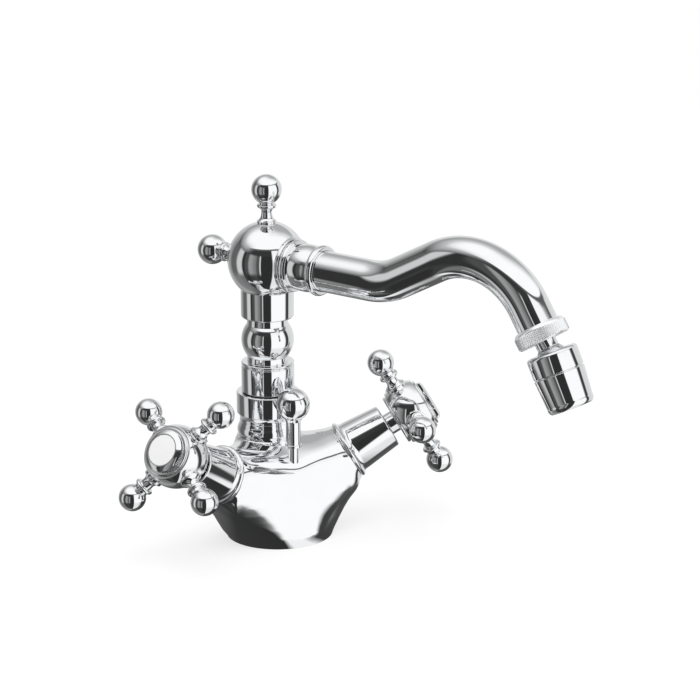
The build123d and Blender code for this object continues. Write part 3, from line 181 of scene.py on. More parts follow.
# Turned profiles
def arc(start: Vector, end: Vector, radius: float) -> list[Vector]:
    """Points of an arc between two points of a profile.

    Args:
        start: First point, radius and height.
        end: Last point.
        radius: Radius of the arc. A positive one swells to the right of the way from start to end.

    Returns:
        Points from start to end.
    """
    chord = end - start
    right = Vector((chord.y, -chord.x)).normalized()
    reach = sqrt(max(radius**2 - chord.length_squared / 4, 0))
    centre = (start + end) / 2 - right * (reach if radius > 0 else -reach)
    first = start - centre
    sweep = first.angle_signed(end - centre)
    count = max(4, int(abs(sweep) / radians(5)))
    points = [start]
    for step in range(1, count):
        turn = Matrix.Rotation(-sweep * step / count, 2)
        points.append(centre + turn @ first)
    return points + [end]


def cut_back(run: list[Vector], length: float) -> list[Vector]:
    """Shortens a run of points at its end.

    Args:
        run: Points of the run.
        length: Length to take off.

    Returns:
        The shorter run.
    """
    run = list(run)
    while len(run) > 2 and (run[-1] - run[-2]).length <= length:
        length -= (run[-1] - run[-2]).length
        run.pop()
    step = run[-2] - run[-1]
    run[-1] = run[-1] + step.normalized() * min(length, step.length * 0.9)
    return run


def run_length(run: list[Vector]) -> float:
    """Length of a run of points."""
    return sum((b - a).length for a, b in zip(run, run[1:]))


def outline(points: list[Point], soft: float) -> tuple[list[Vector], bool]:
    """Works out a turned profile with polished corners.

    Args:
        points: Corners as radius and height. A third number is the radius of the arc that reaches the corner.
        soft: Length that a corner takes off the runs on both its sides.

    Returns:
        Points of the profile, and whether it is a closed loop that keeps off the axis.
    """
    runs = []
    for start, end in zip(points, points[1:] + points[:1]):
        a, b = Vector(start[:2]), Vector(end[:2])
        if (b - a).length < 1e-6 or (a.x < 1e-6 and b.x < 1e-6):
            continue
        runs.append(arc(a, b, end[2]) if len(end) == 3 else [a, b])
    closed = all(point[0] > 1e-6 for point in points)
    lengths = [run_length(run) for run in runs]
    result = []
    for index, run in enumerate(runs):
        follower = runs[(index + 1) % len(runs)]
        if index == len(runs) - 1 and not closed:
            result += run if not result else run[1:]
            break
        turn = (run[-1] - run[-2]).angle(follower[1] - follower[0])
        reach = min(soft, 0.4 * lengths[index], 0.4 * lengths[(index + 1) % len(runs)])
        if turn < radians(14):
            result += run[1:] if result else run
            continue
        corner = run[-1]
        before = cut_back(run, reach)
        after = cut_back(list(reversed(follower)), reach)[::-1]
        runs[(index + 1) % len(runs)] = after
        result += before[1:] if result else before
        for step in range(1, 6):
            part = step / 6
            result.append(before[-1].lerp(corner, part).lerp(corner.lerp(after[0], part), part))
        result.append(after[0])
    if closed:
        first = runs[0][0]
        result = [first] + [p for p in result[1:] if (p - first).length > 1e-5]
    return result, closed


def turned(points: list[Point], steps: int = 96, soft: float = 0.22) -> BMesh:
    """Spins a profile about Z.

    Args:
        points: Corners of the profile as radius and height, with arcs as in outline.
        steps: Steps of the spin.
        soft: Length of the polished corners.

    Returns:
        The mesh in millimetres.
    """
    profile, closed = outline(points, soft)
    bm = bmesh.new()
    verts = [bm.verts.new((p.x, 0, p.y)) for p in profile]
    edges = [bm.edges.new(pair) for pair in zip(verts, verts[1:])]
    if closed:
        edges.append(bm.edges.new((verts[-1], verts[0])))
    bmesh.ops.spin(
        bm, geom=verts + edges, cent=(0, 0, 0), axis=(0, 0, 1), angle=2 * pi, steps=steps, use_merge=True
    )
    bmesh.ops.remove_doubles(bm, verts=bm.verts, dist=1e-4)
    bmesh.ops.recalc_face_normals(bm, faces=bm.faces)
    return bm


def rod(diameter: float, low: float, high: float) -> list[Point]:
    """Corners of a plain rod between two heights."""
    return [(0, low), (diameter / 2, low), (diameter / 2, high), (0, high)]


def bead(diameter: float, bottom: float, width: float) -> list[Point]:
    """Corners of a half-round bead from its lower to its upper edge."""
    radius = width / 2
    core = diameter / 2 - radius
    return [(core, bottom), (core + radius, bottom + radius, radius), (core, bottom + width, radius)]


def chord_at(ball: float, chord: float) -> float:
    """Distance from a ball's centre to where its section has the given diameter."""
    return sqrt(ball**2 - chord**2) / 2


def settled(name: str, bm: BMesh) -> bpy.types.Mesh:
    """Turns a mesh that is being modelled into mesh data.

    Args:
        name: Name of the data.
        bm: Mesh, which is freed.

    Returns:
        The mesh data.
    """
    mesh = bpy.data.meshes.new(name)
    bm.to_mesh(mesh)
    bm.free()
    return mesh


def placed(name: str, data: bpy.types.ID) -> bpy.types.Object:
    """Puts a new object with the given data into the scene.

    Args:
        name: Name of the object.
        data: Mesh, light or camera.

    Returns:
        The object.
    """
    item = bpy.data.objects.new(name, data)
    bpy.context.scene.collection.objects.link(item)
    return item


def joined(parts: list[BMesh]) -> BMesh:
    """Puts several meshes into one.

    Args:
        parts: Meshes to join. They are freed.

    Returns:
        The joined mesh.
    """
    whole = bmesh.new()
    for part in parts:
        mesh = settled("part", part)
        whole.from_mesh(mesh)
        bpy.data.meshes.remove(mesh)
    return whole


def copied(source: BMesh, matrix: Matrix) -> BMesh:
    """A moved copy of a mesh."""
    copy = source.copy()
    bmesh.ops.transform(copy, matrix=matrix, verts=copy.verts)
    return copy


def sliced(bm: BMesh, point: Vector, outwards: Vector) -> None:
    """Cuts a mesh flat at a plane and closes the cut.

    Args:
        bm: Mesh to cut.
        point: Point on the plane.
        outwards: Direction in which the mesh is cut away.
    """
    geometry = bm.verts[:] + bm.edges[:] + bm.faces[:]
    cut = bmesh.ops.bisect_plane(bm, geom=geometry, plane_co=point, plane_no=outwards, clear_outer=True)
    rim = [item for item in cut["geom_cut"] if isinstance(item, bmesh.types.BMEdge)]
    bmesh.ops.holes_fill(bm, edges=rim, sides=0)
    bmesh.ops.recalc_face_normals(bm, faces=bm.faces)


@dataclass(frozen=True)
class Axis:
    """Axis that a piece is turned about, in the frame's millimetres.

    Args:
        origin: Point on the axis.
        side: Direction of the piece's own X.
        out: Direction of the piece's own Z.
    """

    origin: Vector
    side: Vector
    out: Vector

    def matrix(self) -> Matrix:
        """Matrix from the piece's own millimetres to the frame's millimetres."""
        turn = Matrix((self.side, self.out.cross(self.side), self.out)).transposed()
        return Matrix.Translation(self.origin) @ turn.to_4x4()


@dataclass
class Assembly:
    """Puts finished meshes into the frame as pieces.

    Args:
        body: Body of the frame that the pieces ride on.
        chrome: Material of the plated pieces.
    """

    body: str
    chrome: bpy.types.Material

    def add(
        self,
        node: str,
        bm: BMesh,
        matrix: Matrix,
        material: bpy.types.Material | None = None,
        slot: str = "chrome",
        sharp: float = 38.0,
    ) -> bpy.types.Object:
        """Adds a piece that stands for a node of the frame.

        Args:
            node: Node that the piece replaces.
            bm: Mesh in its own millimetres. It is freed.
            matrix: Matrix to the frame's millimetres.
            material: Material, or none for chrome.
            slot: Material slot of the record. Not used.
            sharp: Angle in degrees from which an edge is sharp.

        Returns:
            The piece.
        """
        bmesh.ops.transform(bm, matrix=Matrix.Scale(MM, 4) @ matrix, verts=bm.verts)
        mesh = settled(f"{node}_looks", bm)
        mesh.shade_smooth()
        mesh.set_sharp_from_angle(angle=radians(sharp))
        mesh.materials.append(material or self.chrome)
        piece = placed(f"{node}_looks", mesh)
        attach(piece, self.body)
        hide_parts(node)
        log.info("%s: %d faces", piece.name, len(mesh.polygons))
        return piece


# Directions of the assembly
UP = Vector((0, 0, 1))
COLUMN_SETBACK = 9.64
ROD_SETFORWARD = 12.6
SPOUT_TURN = radians(22.2)
REACH = Vector((sin(SPOUT_TURN), -cos(SPOUT_TURN), 0))
HEAD_POINT = Vector((0, COLUMN_SETBACK, 126.095))
COLUMN = Axis(Vector((0, COLUMN_SETBACK, 0)), Vector((1, 0, 0)), UP)
ROD = Axis(Vector((0, -ROD_SETFORWARD, 0)), Vector((1, 0, 0)), UP)
VALVE_POINT = Vector((0, 8.94, 13.53))
VALVE_TILT = radians(30)
VALVE_SPLAY = radians(21.2)
ARM_FACE_AT = 41.2
HANDLE_TURNS = {Water.HOT: -36.0, Water.COLD: 0.0}


def valve_axis(water: Water, turn: float = 0.0) -> Axis:
    """Axis of a valve.

    Args:
        water: Side of the valve.
        turn: Turn about the axis in degrees.

    Returns:
        Axis with Z outwards and X level before the turn.
    """
    level, hand = cos(VALVE_TILT), water.value
    out = Vector((hand * level * cos(VALVE_SPLAY), -level * sin(VALVE_SPLAY), sin(VALVE_TILT)))
    side = Vector((sin(VALVE_SPLAY), hand * cos(VALVE_SPLAY), 0))
    side.rotate(Matrix.Rotation(radians(turn), 3, out))
    return Axis(VALVE_POINT, side, out)


def leaning_axis(reach: float, height: float, lean: float) -> Axis:
    """Axis in the spout's plane that leans outwards on its way down.

    Args:
        reach: Distance from the column.
        height: Height over the deck.
        lean: Angle from straight down in degrees.

    Returns:
        Axis with Z downwards.
    """
    origin = Vector((0, COLUMN_SETBACK, height)) + REACH * reach
    out = REACH * sin(radians(lean)) - UP * cos(radians(lean))
    return Axis(origin, Vector((-REACH.y, REACH.x, 0)), out)


# Sub-assemblies
@dataclass
class Casting(Assembly):
    """Body casting: the skin of the frame's node, with its bores closed and its joins blended."""

    foot: float = 47.5
    arm_end: float = 26.6
    boss: float = 26.0
    boss_height: float = 52.0
    bead_bottom: float = 44.0
    bead_top: float = 49.4
    bead_round: float = 5.0
    bead_ledge: float = 0.5
    cove: float = 4.0
    collar_depth: float = 2.0
    boss_shrink: float = 0.95
    overlap: float = 3.0
    slack: float = 0.1
    foot_plug_top: float = 1.0
    boss_plug_bottom: float = 24.0
    guide_plug: Point = (9.0, 0.0, 31.0)
    rod_plug: Point = (5.4, 28.0, 37.0)
    valve_plug: Point = (20.0, 14.0, ARM_FACE_AT)
    arm_plug_bottom: float = 38.5
    grain: float = 0.6
    blending: int = 46
    rounding: int = 60
    rounds: int = 5
    ridge_side: float = 32.0
    ridge_bottom: float = 5.0
    ridge_step: float = 4.0

    def plugs(self) -> list[BMesh]:
        """Rods that close the bores and lengthen the ends, so that the blending leaves the ends alone."""
        rods = [
            (Matrix.Identity(4), self.foot - self.slack, -self.overlap, self.foot_plug_top),
            (COLUMN.matrix(), self.boss - self.slack, self.boss_plug_bottom, self.boss_height + self.overlap),
            (ROD.matrix(), *self.guide_plug),
            (ROD.matrix(), *self.rod_plug),
        ]
        arm_plug = (self.arm_end - self.slack, self.arm_plug_bottom, ARM_FACE_AT + self.overlap)
        for water in Water:
            rods += [(valve_axis(water).matrix(), *plug) for plug in (self.valve_plug, arm_plug)]
        return [copied(turned(rod(*size), 128, 0.01), matrix) for matrix, *size in rods]

    def skin(self) -> BMesh:
        """Blends the casting into one smooth skin.

        Returns:
            The mesh in the frame's millimetres.
        """
        source = bmesh.new()
        source.from_mesh(frame["nodes"]["mixer_body"].data)
        bmesh.ops.remove_doubles(source, verts=source.verts, dist=1e-6)
        bmesh.ops.scale(source, vec=(1 / MM,) * 3, verts=source.verts)
        mesh = settled("casting", joined([source] + self.plugs()))
        rough = placed("casting", mesh)
        remesh = rough.modifiers.new("skin", "REMESH")
        remesh.mode = "VOXEL"
        remesh.voxel_size = self.grain
        graph = bpy.context.evaluated_depsgraph_get()
        bm = bmesh.new()
        bm.from_object(rough, graph)
        bpy.data.objects.remove(rough)
        bpy.data.meshes.remove(mesh)
        self.smooth(bm, bm.verts[:], self.blending)
        for level in range(self.rounds):
            self.smooth(bm, [vert for vert in bm.verts if self.on_ridge(vert.co, level)], self.rounding)
        sliced(bm, Vector((0, 0, 0)), -UP)
        sliced(bm, Vector((0, 0, self.boss_height)), UP)
        for water in Water:
            axis = valve_axis(water)
            sliced(bm, axis.origin + axis.out * ARM_FACE_AT, axis.out)
        high = [vert for vert in bm.verts if vert.co.z > self.bead_bottom]
        top = [vert for vert in high if (vert.co - COLUMN.origin).xy.length < self.boss]
        about = Matrix.Translation(-COLUMN.origin)
        bmesh.ops.scale(bm, vec=(self.boss_shrink, self.boss_shrink, 1), space=about, verts=top)
        return joined([bm, self.boss_collar()])

    @staticmethod
    def smooth(bm: BMesh, verts: list, rounds: int) -> None:
        """Smooths verts a number of times.

        Args:
            bm: Mesh of the verts.
            verts: Verts that move.
            rounds: Number of times.
        """
        for _ in range(rounds):
            bmesh.ops.smooth_vert(
                bm, verts=verts, factor=0.5, use_axis_x=True, use_axis_y=True, use_axis_z=True
            )

    def on_ridge(self, point: Vector, level: int) -> bool:
        """Whether a point lies on the rounded flanks and ridge between the arms, round the boss.

        Args:
            point: Point of the skin.
            level: Round of the smoothing. Each takes in less of the skin than the one before.

        Returns:
            True on the flanks and the ridge.
        """
        off_boss = (point - COLUMN.origin).xy.length > self.boss / 2 + self.collar_depth
        high = point.z > self.ridge_bottom + self.ridge_step * level
        return abs(point.x) < self.ridge_side - level and high and off_boss

    def boss_collar(self) -> BMesh:
        """Turned bead and cove at the top of the boss, in the frame's millimetres."""
        outer = self.boss / 2
        profile = [
            (outer - self.collar_depth, self.bead_bottom),
            (outer, self.bead_bottom),
            (outer + self.bead_ledge, self.bead_top, self.bead_round),
            (outer, self.boss_height, -self.cove),
            (outer - self.collar_depth, self.boss_height),
        ]
        bm = turned(profile, 128, 0.12)
        bmesh.ops.transform(bm, matrix=COLUMN.matrix(), verts=bm.verts)
        return bm

    def build(self) -> None:
        """Adds the casting."""
        self.add("mixer_body", self.skin(), Matrix.Identity(4), sharp=50.0)


@dataclass
class Collar(Assembly):
    """Retaining ring on the boss."""

    diameter: float = 28.6
    bottom: float = 52.0
    top: float = 65.0
    lip: float = 3.4
    edge: float = 0.6
    foot: float = 26.0
    cove_height: float = 3.4
    cove: float = 4.0
    ledge: float = 0.2
    thread: float = 24.5
    opening: float = 17.1

    def build(self) -> None:
        """Adds the ring."""
        outer = self.diameter / 2
        profile = [
            (self.thread / 2, self.bottom),
            (self.foot / 2, self.bottom),
            (outer - self.ledge, self.bottom + self.cove_height, -self.cove),
            (outer, self.bottom + self.cove_height),
            (outer, self.top - self.edge),
            (outer - self.edge, self.top, self.edge),
            (self.opening / 2, self.top),
            (self.opening / 2, self.top - self.lip),
            (self.thread / 2, self.top - self.lip),
        ]
        self.add("retaining_ring", turned(profile, 128, 0.16), COLUMN.matrix())


@dataclass
class Pillar(Assembly):
    """Column, ball head, finials and socket."""

    diameter: float = 24.0
    bottom: float = 65.4
    tail: float = 17.0
    tail_bottom: float = 36.0
    straight_top: float = 77.3
    groove: float = 22.8
    groove_width: float = 0.6
    bead_width: float = 1.2
    ball: float = 23.8
    neck: float = 18.6
    neck_height: float = 2.8
    upper_neck_height: float = 3.3
    upper_edge: float = 0.9
    head: float = 35.6
    finial_ball: float = 13.68
    finial_ring: float = 8.8
    finial_ring_width: float = 1.8
    finial_neck: float = 5.0
    finial_cove: float = 3.6
    finial_foot: float = 8.8
    finial_foot_height: float = 1.0
    finial_collet: float = 6.4
    finial_ring_drop: float = 7.4
    top_finial: float = 15.3
    back_finial: float = 13.75
    tube: float = 18.4
    socket_seat: float = 12.96
    socket_wall: float = 3.2
    socket_bead: float = 2.4
    socket_bead_width: float = 1.9
    socket_groove: float = 1.6
    socket_groove_width: float = 0.4
    socket_barrel: float = 0.8
    socket_barrel_length: float = 10.6
    socket_barrel_round: float = 20.0
    socket_ring: float = 1.4
    socket_ring_width: float = 3.2
    socket_ring_round: float = 2.0
    socket_mouth: float = 4.0

    def build(self) -> None:
        """Adds the pieces."""
        self.add("column", turned(self.column_profile(), 128), COLUMN.matrix())
        self.add("spout_head", self.ball_head(), Matrix.Identity(4))
        for node, out, side, length in (
            ("top_finial", UP, Vector((1, 0, 0)), self.top_finial),
            ("back_finial", -REACH, UP, self.back_finial),
        ):
            finial = turned(self.finial_profile(length), 72, 0.15)
            self.add(node, finial, Axis(HEAD_POINT, side, out).matrix())
        socket = turned(self.socket_profile(), 112, 0.18)
        self.add("spout_socket", socket, Axis(HEAD_POINT, UP, REACH).matrix())

    def column_profile(self) -> list[Point]:
        """Corners of the column."""
        collar, neck, tail, groove = (size / 2 for size in (self.diameter, self.neck, self.tail, self.groove))
        chord = chord_at(self.ball, self.neck)
        bead_bottom = self.straight_top + self.groove_width
        centre = bead_bottom + self.bead_width + self.neck_height + chord
        upper = centre + chord + self.upper_neck_height
        head_flat = HEAD_POINT.z - chord_at(self.head, self.diameter)
        return [
            (0, self.tail_bottom),
            (tail, self.tail_bottom),
            (tail, self.bottom),
            (collar, self.bottom),
            (collar, self.straight_top),
            (groove, self.straight_top),
            (groove, bead_bottom),
            *bead(self.diameter, bead_bottom, self.bead_width),
            (neck, bead_bottom + self.bead_width),
            (neck, centre - chord),
            (self.ball / 2, centre, self.ball / 2),
            (neck, centre + chord, self.ball / 2),
            (neck, upper),
            (collar - self.upper_edge, upper),
            (collar, upper + self.upper_edge, self.upper_edge),
            (collar, head_flat),
            (0, head_flat),
        ]

    def ball_head(self) -> BMesh:
        """Ball with flats for the column, the socket and the finials."""
        radius = self.head / 2
        ball = turned([(0, -radius), (radius, 0, radius), (0, radius, radius)], 128)
        bmesh.ops.translate(ball, vec=HEAD_POINT, verts=ball.verts)
        seat = chord_at(self.head, self.finial_foot)
        for out, distance in (
            (-UP, chord_at(self.head, self.diameter)),
            (REACH, self.socket_seat),
            (UP, seat),
            (-REACH, seat),
        ):
            sliced(ball, HEAD_POINT + out * distance, out)
        return ball

    def finial_profile(self, length: float) -> list[Point]:
        """Corners of a finial, from the ball head outwards."""
        foot, neck, collet, ball = (
            size / 2 for size in (self.finial_foot, self.finial_neck, self.finial_collet, self.finial_ball)
        )
        seat = chord_at(self.head, self.finial_foot)
        centre = seat + length
        foot_top = seat + self.finial_foot_height
        ring_top = centre - self.finial_ring_drop + self.finial_ring_width / 2
        ring_bottom = ring_top - self.finial_ring_width
        return [
            (0, seat),
            (foot, seat),
            (foot, foot_top),
            (neck, (foot_top + ring_bottom) / 2, -self.finial_cove),
            (collet, ring_bottom, -self.finial_cove),
            *bead(self.finial_ring, ring_bottom, self.finial_ring_width),
            (collet, ring_top),
            (collet, centre - chord_at(self.finial_ball, self.finial_collet)),
            (ball, centre, ball),
            (0, centre + ball, ball),
        ]

    def socket_profile(self) -> list[Point]:
        """Corners of the socket, from the ball head outwards."""
        tube, width, groove = self.tube / 2, self.socket_bead_width, self.socket_groove_width
        inner, core, bead_edge = tube - self.socket_wall, tube + self.socket_groove, tube + self.socket_bead
        barrel, ring, mouth = tube + self.socket_barrel, tube + self.socket_ring, tube + FIT
        seat = self.socket_seat
        flange = chord_at(self.head, 2 * seat)
        second = seat + width + groove
        barrel_start = second + width + groove
        barrel_end = barrel_start + self.socket_barrel_length
        end = barrel_end + groove + self.socket_ring_width
        return [
            (inner, seat),
            (flange, seat),
            (flange, seat + width, width),
            (core, seat + width),
            (core, second),
            (bead_edge, second),
            (bead_edge, second + width, width),
            (barrel, second + width),
            (barrel, barrel_start),
            (barrel, barrel_end, self.socket_barrel_round),
            (barrel, barrel_end + groove),
            (ring, barrel_end + groove),
            (ring, end, self.socket_ring_round),
            (mouth, end),
            (mouth, end - self.socket_mouth),
            (inner, end - self.socket_mouth),
        ]


@dataclass
class Spout(Assembly):
    """S-shaped tube of straight runs and bends."""

    diameter: float = 18.4
    start: float = 27.76
    first_corner: float = 65.5
    crest_corner: float = 121.85
    rise: float = 28.4
    end_lean: float = 32.0
    low_radius: float = 35.0
    top_radius: float = 36.0
    end_run: float = 45.6
    sides: int = 72
    bend_step: float = radians(2.5)

    def crest(self) -> Vector:
        """Upper corner of the centre line, as reach and height."""
        run = self.crest_corner - self.first_corner
        return Vector((self.crest_corner, HEAD_POINT.z + run * tan(radians(self.rise))))

    def end(self, along: float) -> Vector:
        """Point on the last run, a distance before the tube's end, as reach and height."""
        lean = radians(self.end_lean)
        return self.crest() + Vector((sin(lean), -cos(lean))) * (self.end_run - along)

    def build(self) -> None:
        """Adds the tube, drawn from its mouth in the socket to its end."""
        rise, fall = radians(self.rise), radians(self.rise + 90 - self.end_lean)
        low_run = self.low_radius * tan(rise / 2)
        top_run = self.top_radius * tan(fall / 2)
        slope = (self.crest() - Vector((self.first_corner, HEAD_POINT.z))).length
        bm = bmesh.new()
        bmesh.ops.create_circle(bm, segments=self.sides, radius=self.diameter / 2)
        bmesh.ops.rotate(bm, verts=bm.verts, matrix=Matrix.Rotation(pi / 2, 3, "Y"))
        bmesh.ops.translate(bm, vec=(self.start, HEAD_POINT.z, 0), verts=bm.verts)
        edges = bm.edges[:]
        heading = Vector((1, 0, 0))
        edges = self.straight(bm, edges, heading * (self.first_corner - low_run - self.start), 6)
        edges = self.bend(bm, edges, heading, self.low_radius, rise)
        heading = Vector((cos(rise), sin(rise), 0))
        edges = self.straight(bm, edges, heading * (slope - low_run - top_run), 5)
        edges = self.bend(bm, edges, heading, self.top_radius, -fall)
        heading = Vector((sin(radians(self.end_lean)), -cos(radians(self.end_lean)), 0))
        self.straight(bm, edges, heading * (self.end_run - top_run), 4)
        bmesh.ops.holes_fill(bm, edges=bm.edges, sides=0)
        bmesh.ops.recalc_face_normals(bm, faces=bm.faces)
        turn = Matrix((REACH, UP, REACH.cross(UP))).transposed().to_4x4()
        self.add("spout_tube", bm, COLUMN.matrix() @ turn)

    def straight(self, bm: BMesh, edges: list, way: Vector, steps: int) -> list:
        """Draws a ring of edges straight on, in equal steps, and gives the last ring."""
        return self.drawn(bm, edges, Matrix.Translation(way / steps), steps)

    def bend(self, bm: BMesh, edges: list, heading: Vector, radius: float, angle: float) -> list:
        """Draws a ring of edges round a bend.

        Args:
            bm: Mesh of the tube.
            edges: Edges of the last ring.
            heading: Direction before the bend.
            radius: Radius of the centre line.
            angle: Angle of the bend, positive upwards.

        Returns:
            Edges of the new last ring.
        """
        verts = list({vert for edge in edges for vert in edge.verts})
        middle = sum((vert.co for vert in verts), Vector()) / len(verts)
        left = Vector((-heading.y, heading.x, 0))
        centre = Matrix.Translation(middle + left * (radius if angle > 0 else -radius))
        steps = max(6, int(abs(angle) / self.bend_step))
        turn = Matrix.Rotation(angle / steps, 4, "Z")
        return self.drawn(bm, edges, centre @ turn @ centre.inverted(), steps)

    @staticmethod
    def drawn(bm: BMesh, edges: list, step: Matrix, count: int) -> list:
        """Draws a ring of edges on by equal steps.

        Args:
            bm: Mesh of the tube.
            edges: Edges of the last ring.
            step: Move from one ring to the next.
            count: Number of steps.

        Returns:
            Edges of the new last ring.
        """
        for _ in range(count):
            geometry = bmesh.ops.extrude_edge_only(bm, edges=edges)["geom"]
            verts = [item for item in geometry if isinstance(item, bmesh.types.BMVert)]
            edges = [item for item in geometry if isinstance(item, bmesh.types.BMEdge)]
            bmesh.ops.transform(bm, matrix=step, verts=verts)
        return edges


@dataclass
class Nut(Assembly):
    """Knurled nut at the spout's end."""

    overlap: float = 3.6
    diameter: float = 23.8
    height: float = 7.4
    rim: float = 0.7
    shoulder: float = 1.7
    shoulder_round: float = 2.2
    chamfer: float = 0.5
    lip: float = 1.4
    opening: float = 11.2
    thread: float = 18.5
    columns: int = 124
    rows: int = 10
    knurl: float = 0.46

    def build(self, axis: Axis) -> None:
        """Adds the nut.

        Args:
            axis: Axis of the spout's end, from the nut's top downwards.
        """
        core = self.diameter / 2 - self.knurl
        low, high = self.shoulder, self.height - self.chamfer
        heights = [low + (high - low) * row / self.rows for row in range(self.rows + 1)]
        profile = [
            (self.thread / 2, 0),
            (self.thread / 2 + self.rim, 0),
            (core, low, self.shoulder_round),
            *[(core, height) for height in heights[1:]],
            (core - self.chamfer, self.height),
            (self.opening / 2, self.height),
            (self.opening / 2, self.height - self.lip),
            (self.thread / 2, self.height - self.lip),
        ]
        bm = turned(profile, self.columns, 0.05)
        side = [vert for vert in bm.verts if abs(vert.co.xy.length - core) < 0.01]
        band = [vert for vert in side if low - 0.01 < vert.co.z < high + 0.01]
        crests, hollows = [], []
        for vert in band:
            column = round(atan2(vert.co.y, vert.co.x) / (2 * pi) * self.columns)
            row = round((vert.co.z - low) / (high - low) * self.rows)
            raised = (column + row) % 2 and 0 < row < self.rows
            (crests if raised else hollows).append(vert)
        bmesh.ops.connect_verts(bm, verts=hollows)
        grow = 1 + self.knurl / core
        bmesh.ops.scale(bm, vec=(grow, grow, 1), verts=crests)
        self.add("aerator_nut", bm, axis.matrix(), KNURLED.material("knurled"), sharp=20.0)


@dataclass
class Jet(Assembly):
    """Swivel jet on the ball."""

    lean: float = 26.0
    diameter: float = 22.7
    above_ball: float = 4.0
    collar_height: float = 9.2
    collar_edge: float = 1.6
    thread: float = 19.6
    socket: float = 15.1
    groove_width: float = 0.6
    groove_depth: float = 0.5
    sleeve_length: float = 16.4
    sleeve_end: float = 20.6
    sleeve_round: float = 3.0
    mouth: float = 18.4
    spigot: float = 2.6
    seat_bore: float = 18.1
    seat_end: float = 6.5
    waterway: float = 15.0
    waterway_end: float = 8.0

    def build(self, axis: Axis) -> None:
        """Adds the jet's collar and sleeve.

        Args:
            axis: Axis of the jet, from the ball's centre downwards.
        """
        outer, socket, thread, mouth, seat, waterway = (
            size / 2
            for size in (self.diameter, self.socket, self.thread, self.mouth, self.seat_bore, self.waterway)
        )
        groove = outer - self.groove_depth
        collar_end = self.collar_height - self.above_ball
        spigot, groove_end = collar_end - self.spigot, collar_end + self.groove_width
        end = collar_end + self.sleeve_length
        collar = [
            (sqrt(socket**2 - self.above_ball**2), -self.above_ball, -socket),
            (outer - self.collar_edge, -self.above_ball),
            (outer, self.collar_edge - self.above_ball, self.collar_edge),
            (outer, collar_end),
            (thread + FIT, collar_end),
            (thread + FIT, spigot - FIT),
            (socket, spigot - FIT),
            (socket, 0),
        ]
        sleeve = [
            (seat, spigot),
            (thread, spigot),
            (thread, collar_end),
            (groove, collar_end),
            (groove, groove_end),
            (outer, groove_end),
            (self.sleeve_end / 2, end - self.sleeve_round),
            (mouth, end, self.sleeve_round),
            (mouth, self.waterway_end),
            (waterway, self.waterway_end),
            (waterway, self.seat_end),
            (seat, self.seat_end),
        ]
        self.add("aerator_collar", turned(collar, 112), axis.matrix())
        self.add("aerator_sleeve", turned(sleeve, 112), axis.matrix())


@dataclass
class JetBall(Assembly):
    """Stem with the ball that the jet swivels on."""

    flange: float = 18.3
    flange_top: float = 4.65
    flange_bottom: float = 5.95
    stem: float = 9.6
    bore: float = 6.0
    ball: float = 15.0
    centre: float = 16.4
    flat: float = 6.4

    def build(self, axis: Axis) -> None:
        """Adds the stem and its ball.

        Args:
            axis: Axis of the spout's end, from the nut's top downwards.
        """
        radius = self.ball / 2
        profile = [
            (self.bore / 2, self.flange_top),
            (self.flange / 2, self.flange_top),
            (self.flange / 2, self.flange_bottom),
            (self.stem / 2, self.flange_bottom),
            (self.stem / 2, self.centre - chord_at(self.ball, self.stem)),
            (radius, self.centre, radius),
            (sqrt(radius**2 - self.flat**2), self.centre + self.flat, radius),
            (self.bore / 2, self.centre + self.flat),
        ]
        self.add("aerator_ball", turned(profile, 96), axis.matrix())


@dataclass
class PopUp(Assembly):
    """Ball knob on its sleeve, with the rod."""

    ball: float = 15.2
    centre: float = 64.3
    collar: float = 8.6
    collar_height: float = 1.6
    sleeve: float = 6.6
    foot: float = 7.6
    foot_height: float = 1.2
    bottom: float = 44.5
    rod: float = 4.6
    rod_bottom: float = 6.5
    rod_in: float = 14.0

    def build(self) -> None:
        """Adds the knob and the rod."""
        radius, sleeve, socket = self.ball / 2, self.sleeve / 2, self.rod / 2 + FIT
        collar_top = self.centre - chord_at(self.ball, self.collar)
        foot_top, rod_top = self.bottom + self.foot_height, self.bottom + self.rod_in
        knob = [
            (socket, self.bottom),
            (self.foot / 2, self.bottom),
            (self.foot / 2, foot_top),
            (sleeve, foot_top),
            (sleeve, collar_top - self.collar_height),
            (self.collar / 2, collar_top),
            (radius, self.centre, radius),
            (0, self.centre + radius, radius),
            (0, rod_top),
            (socket, rod_top),
        ]
        stem = rod(self.rod, self.rod_bottom, rod_top)
        self.add("lift_knob", turned(knob, 96), ROD.matrix())
        self.add("lift_rod", turned(stem, 64), ROD.matrix())


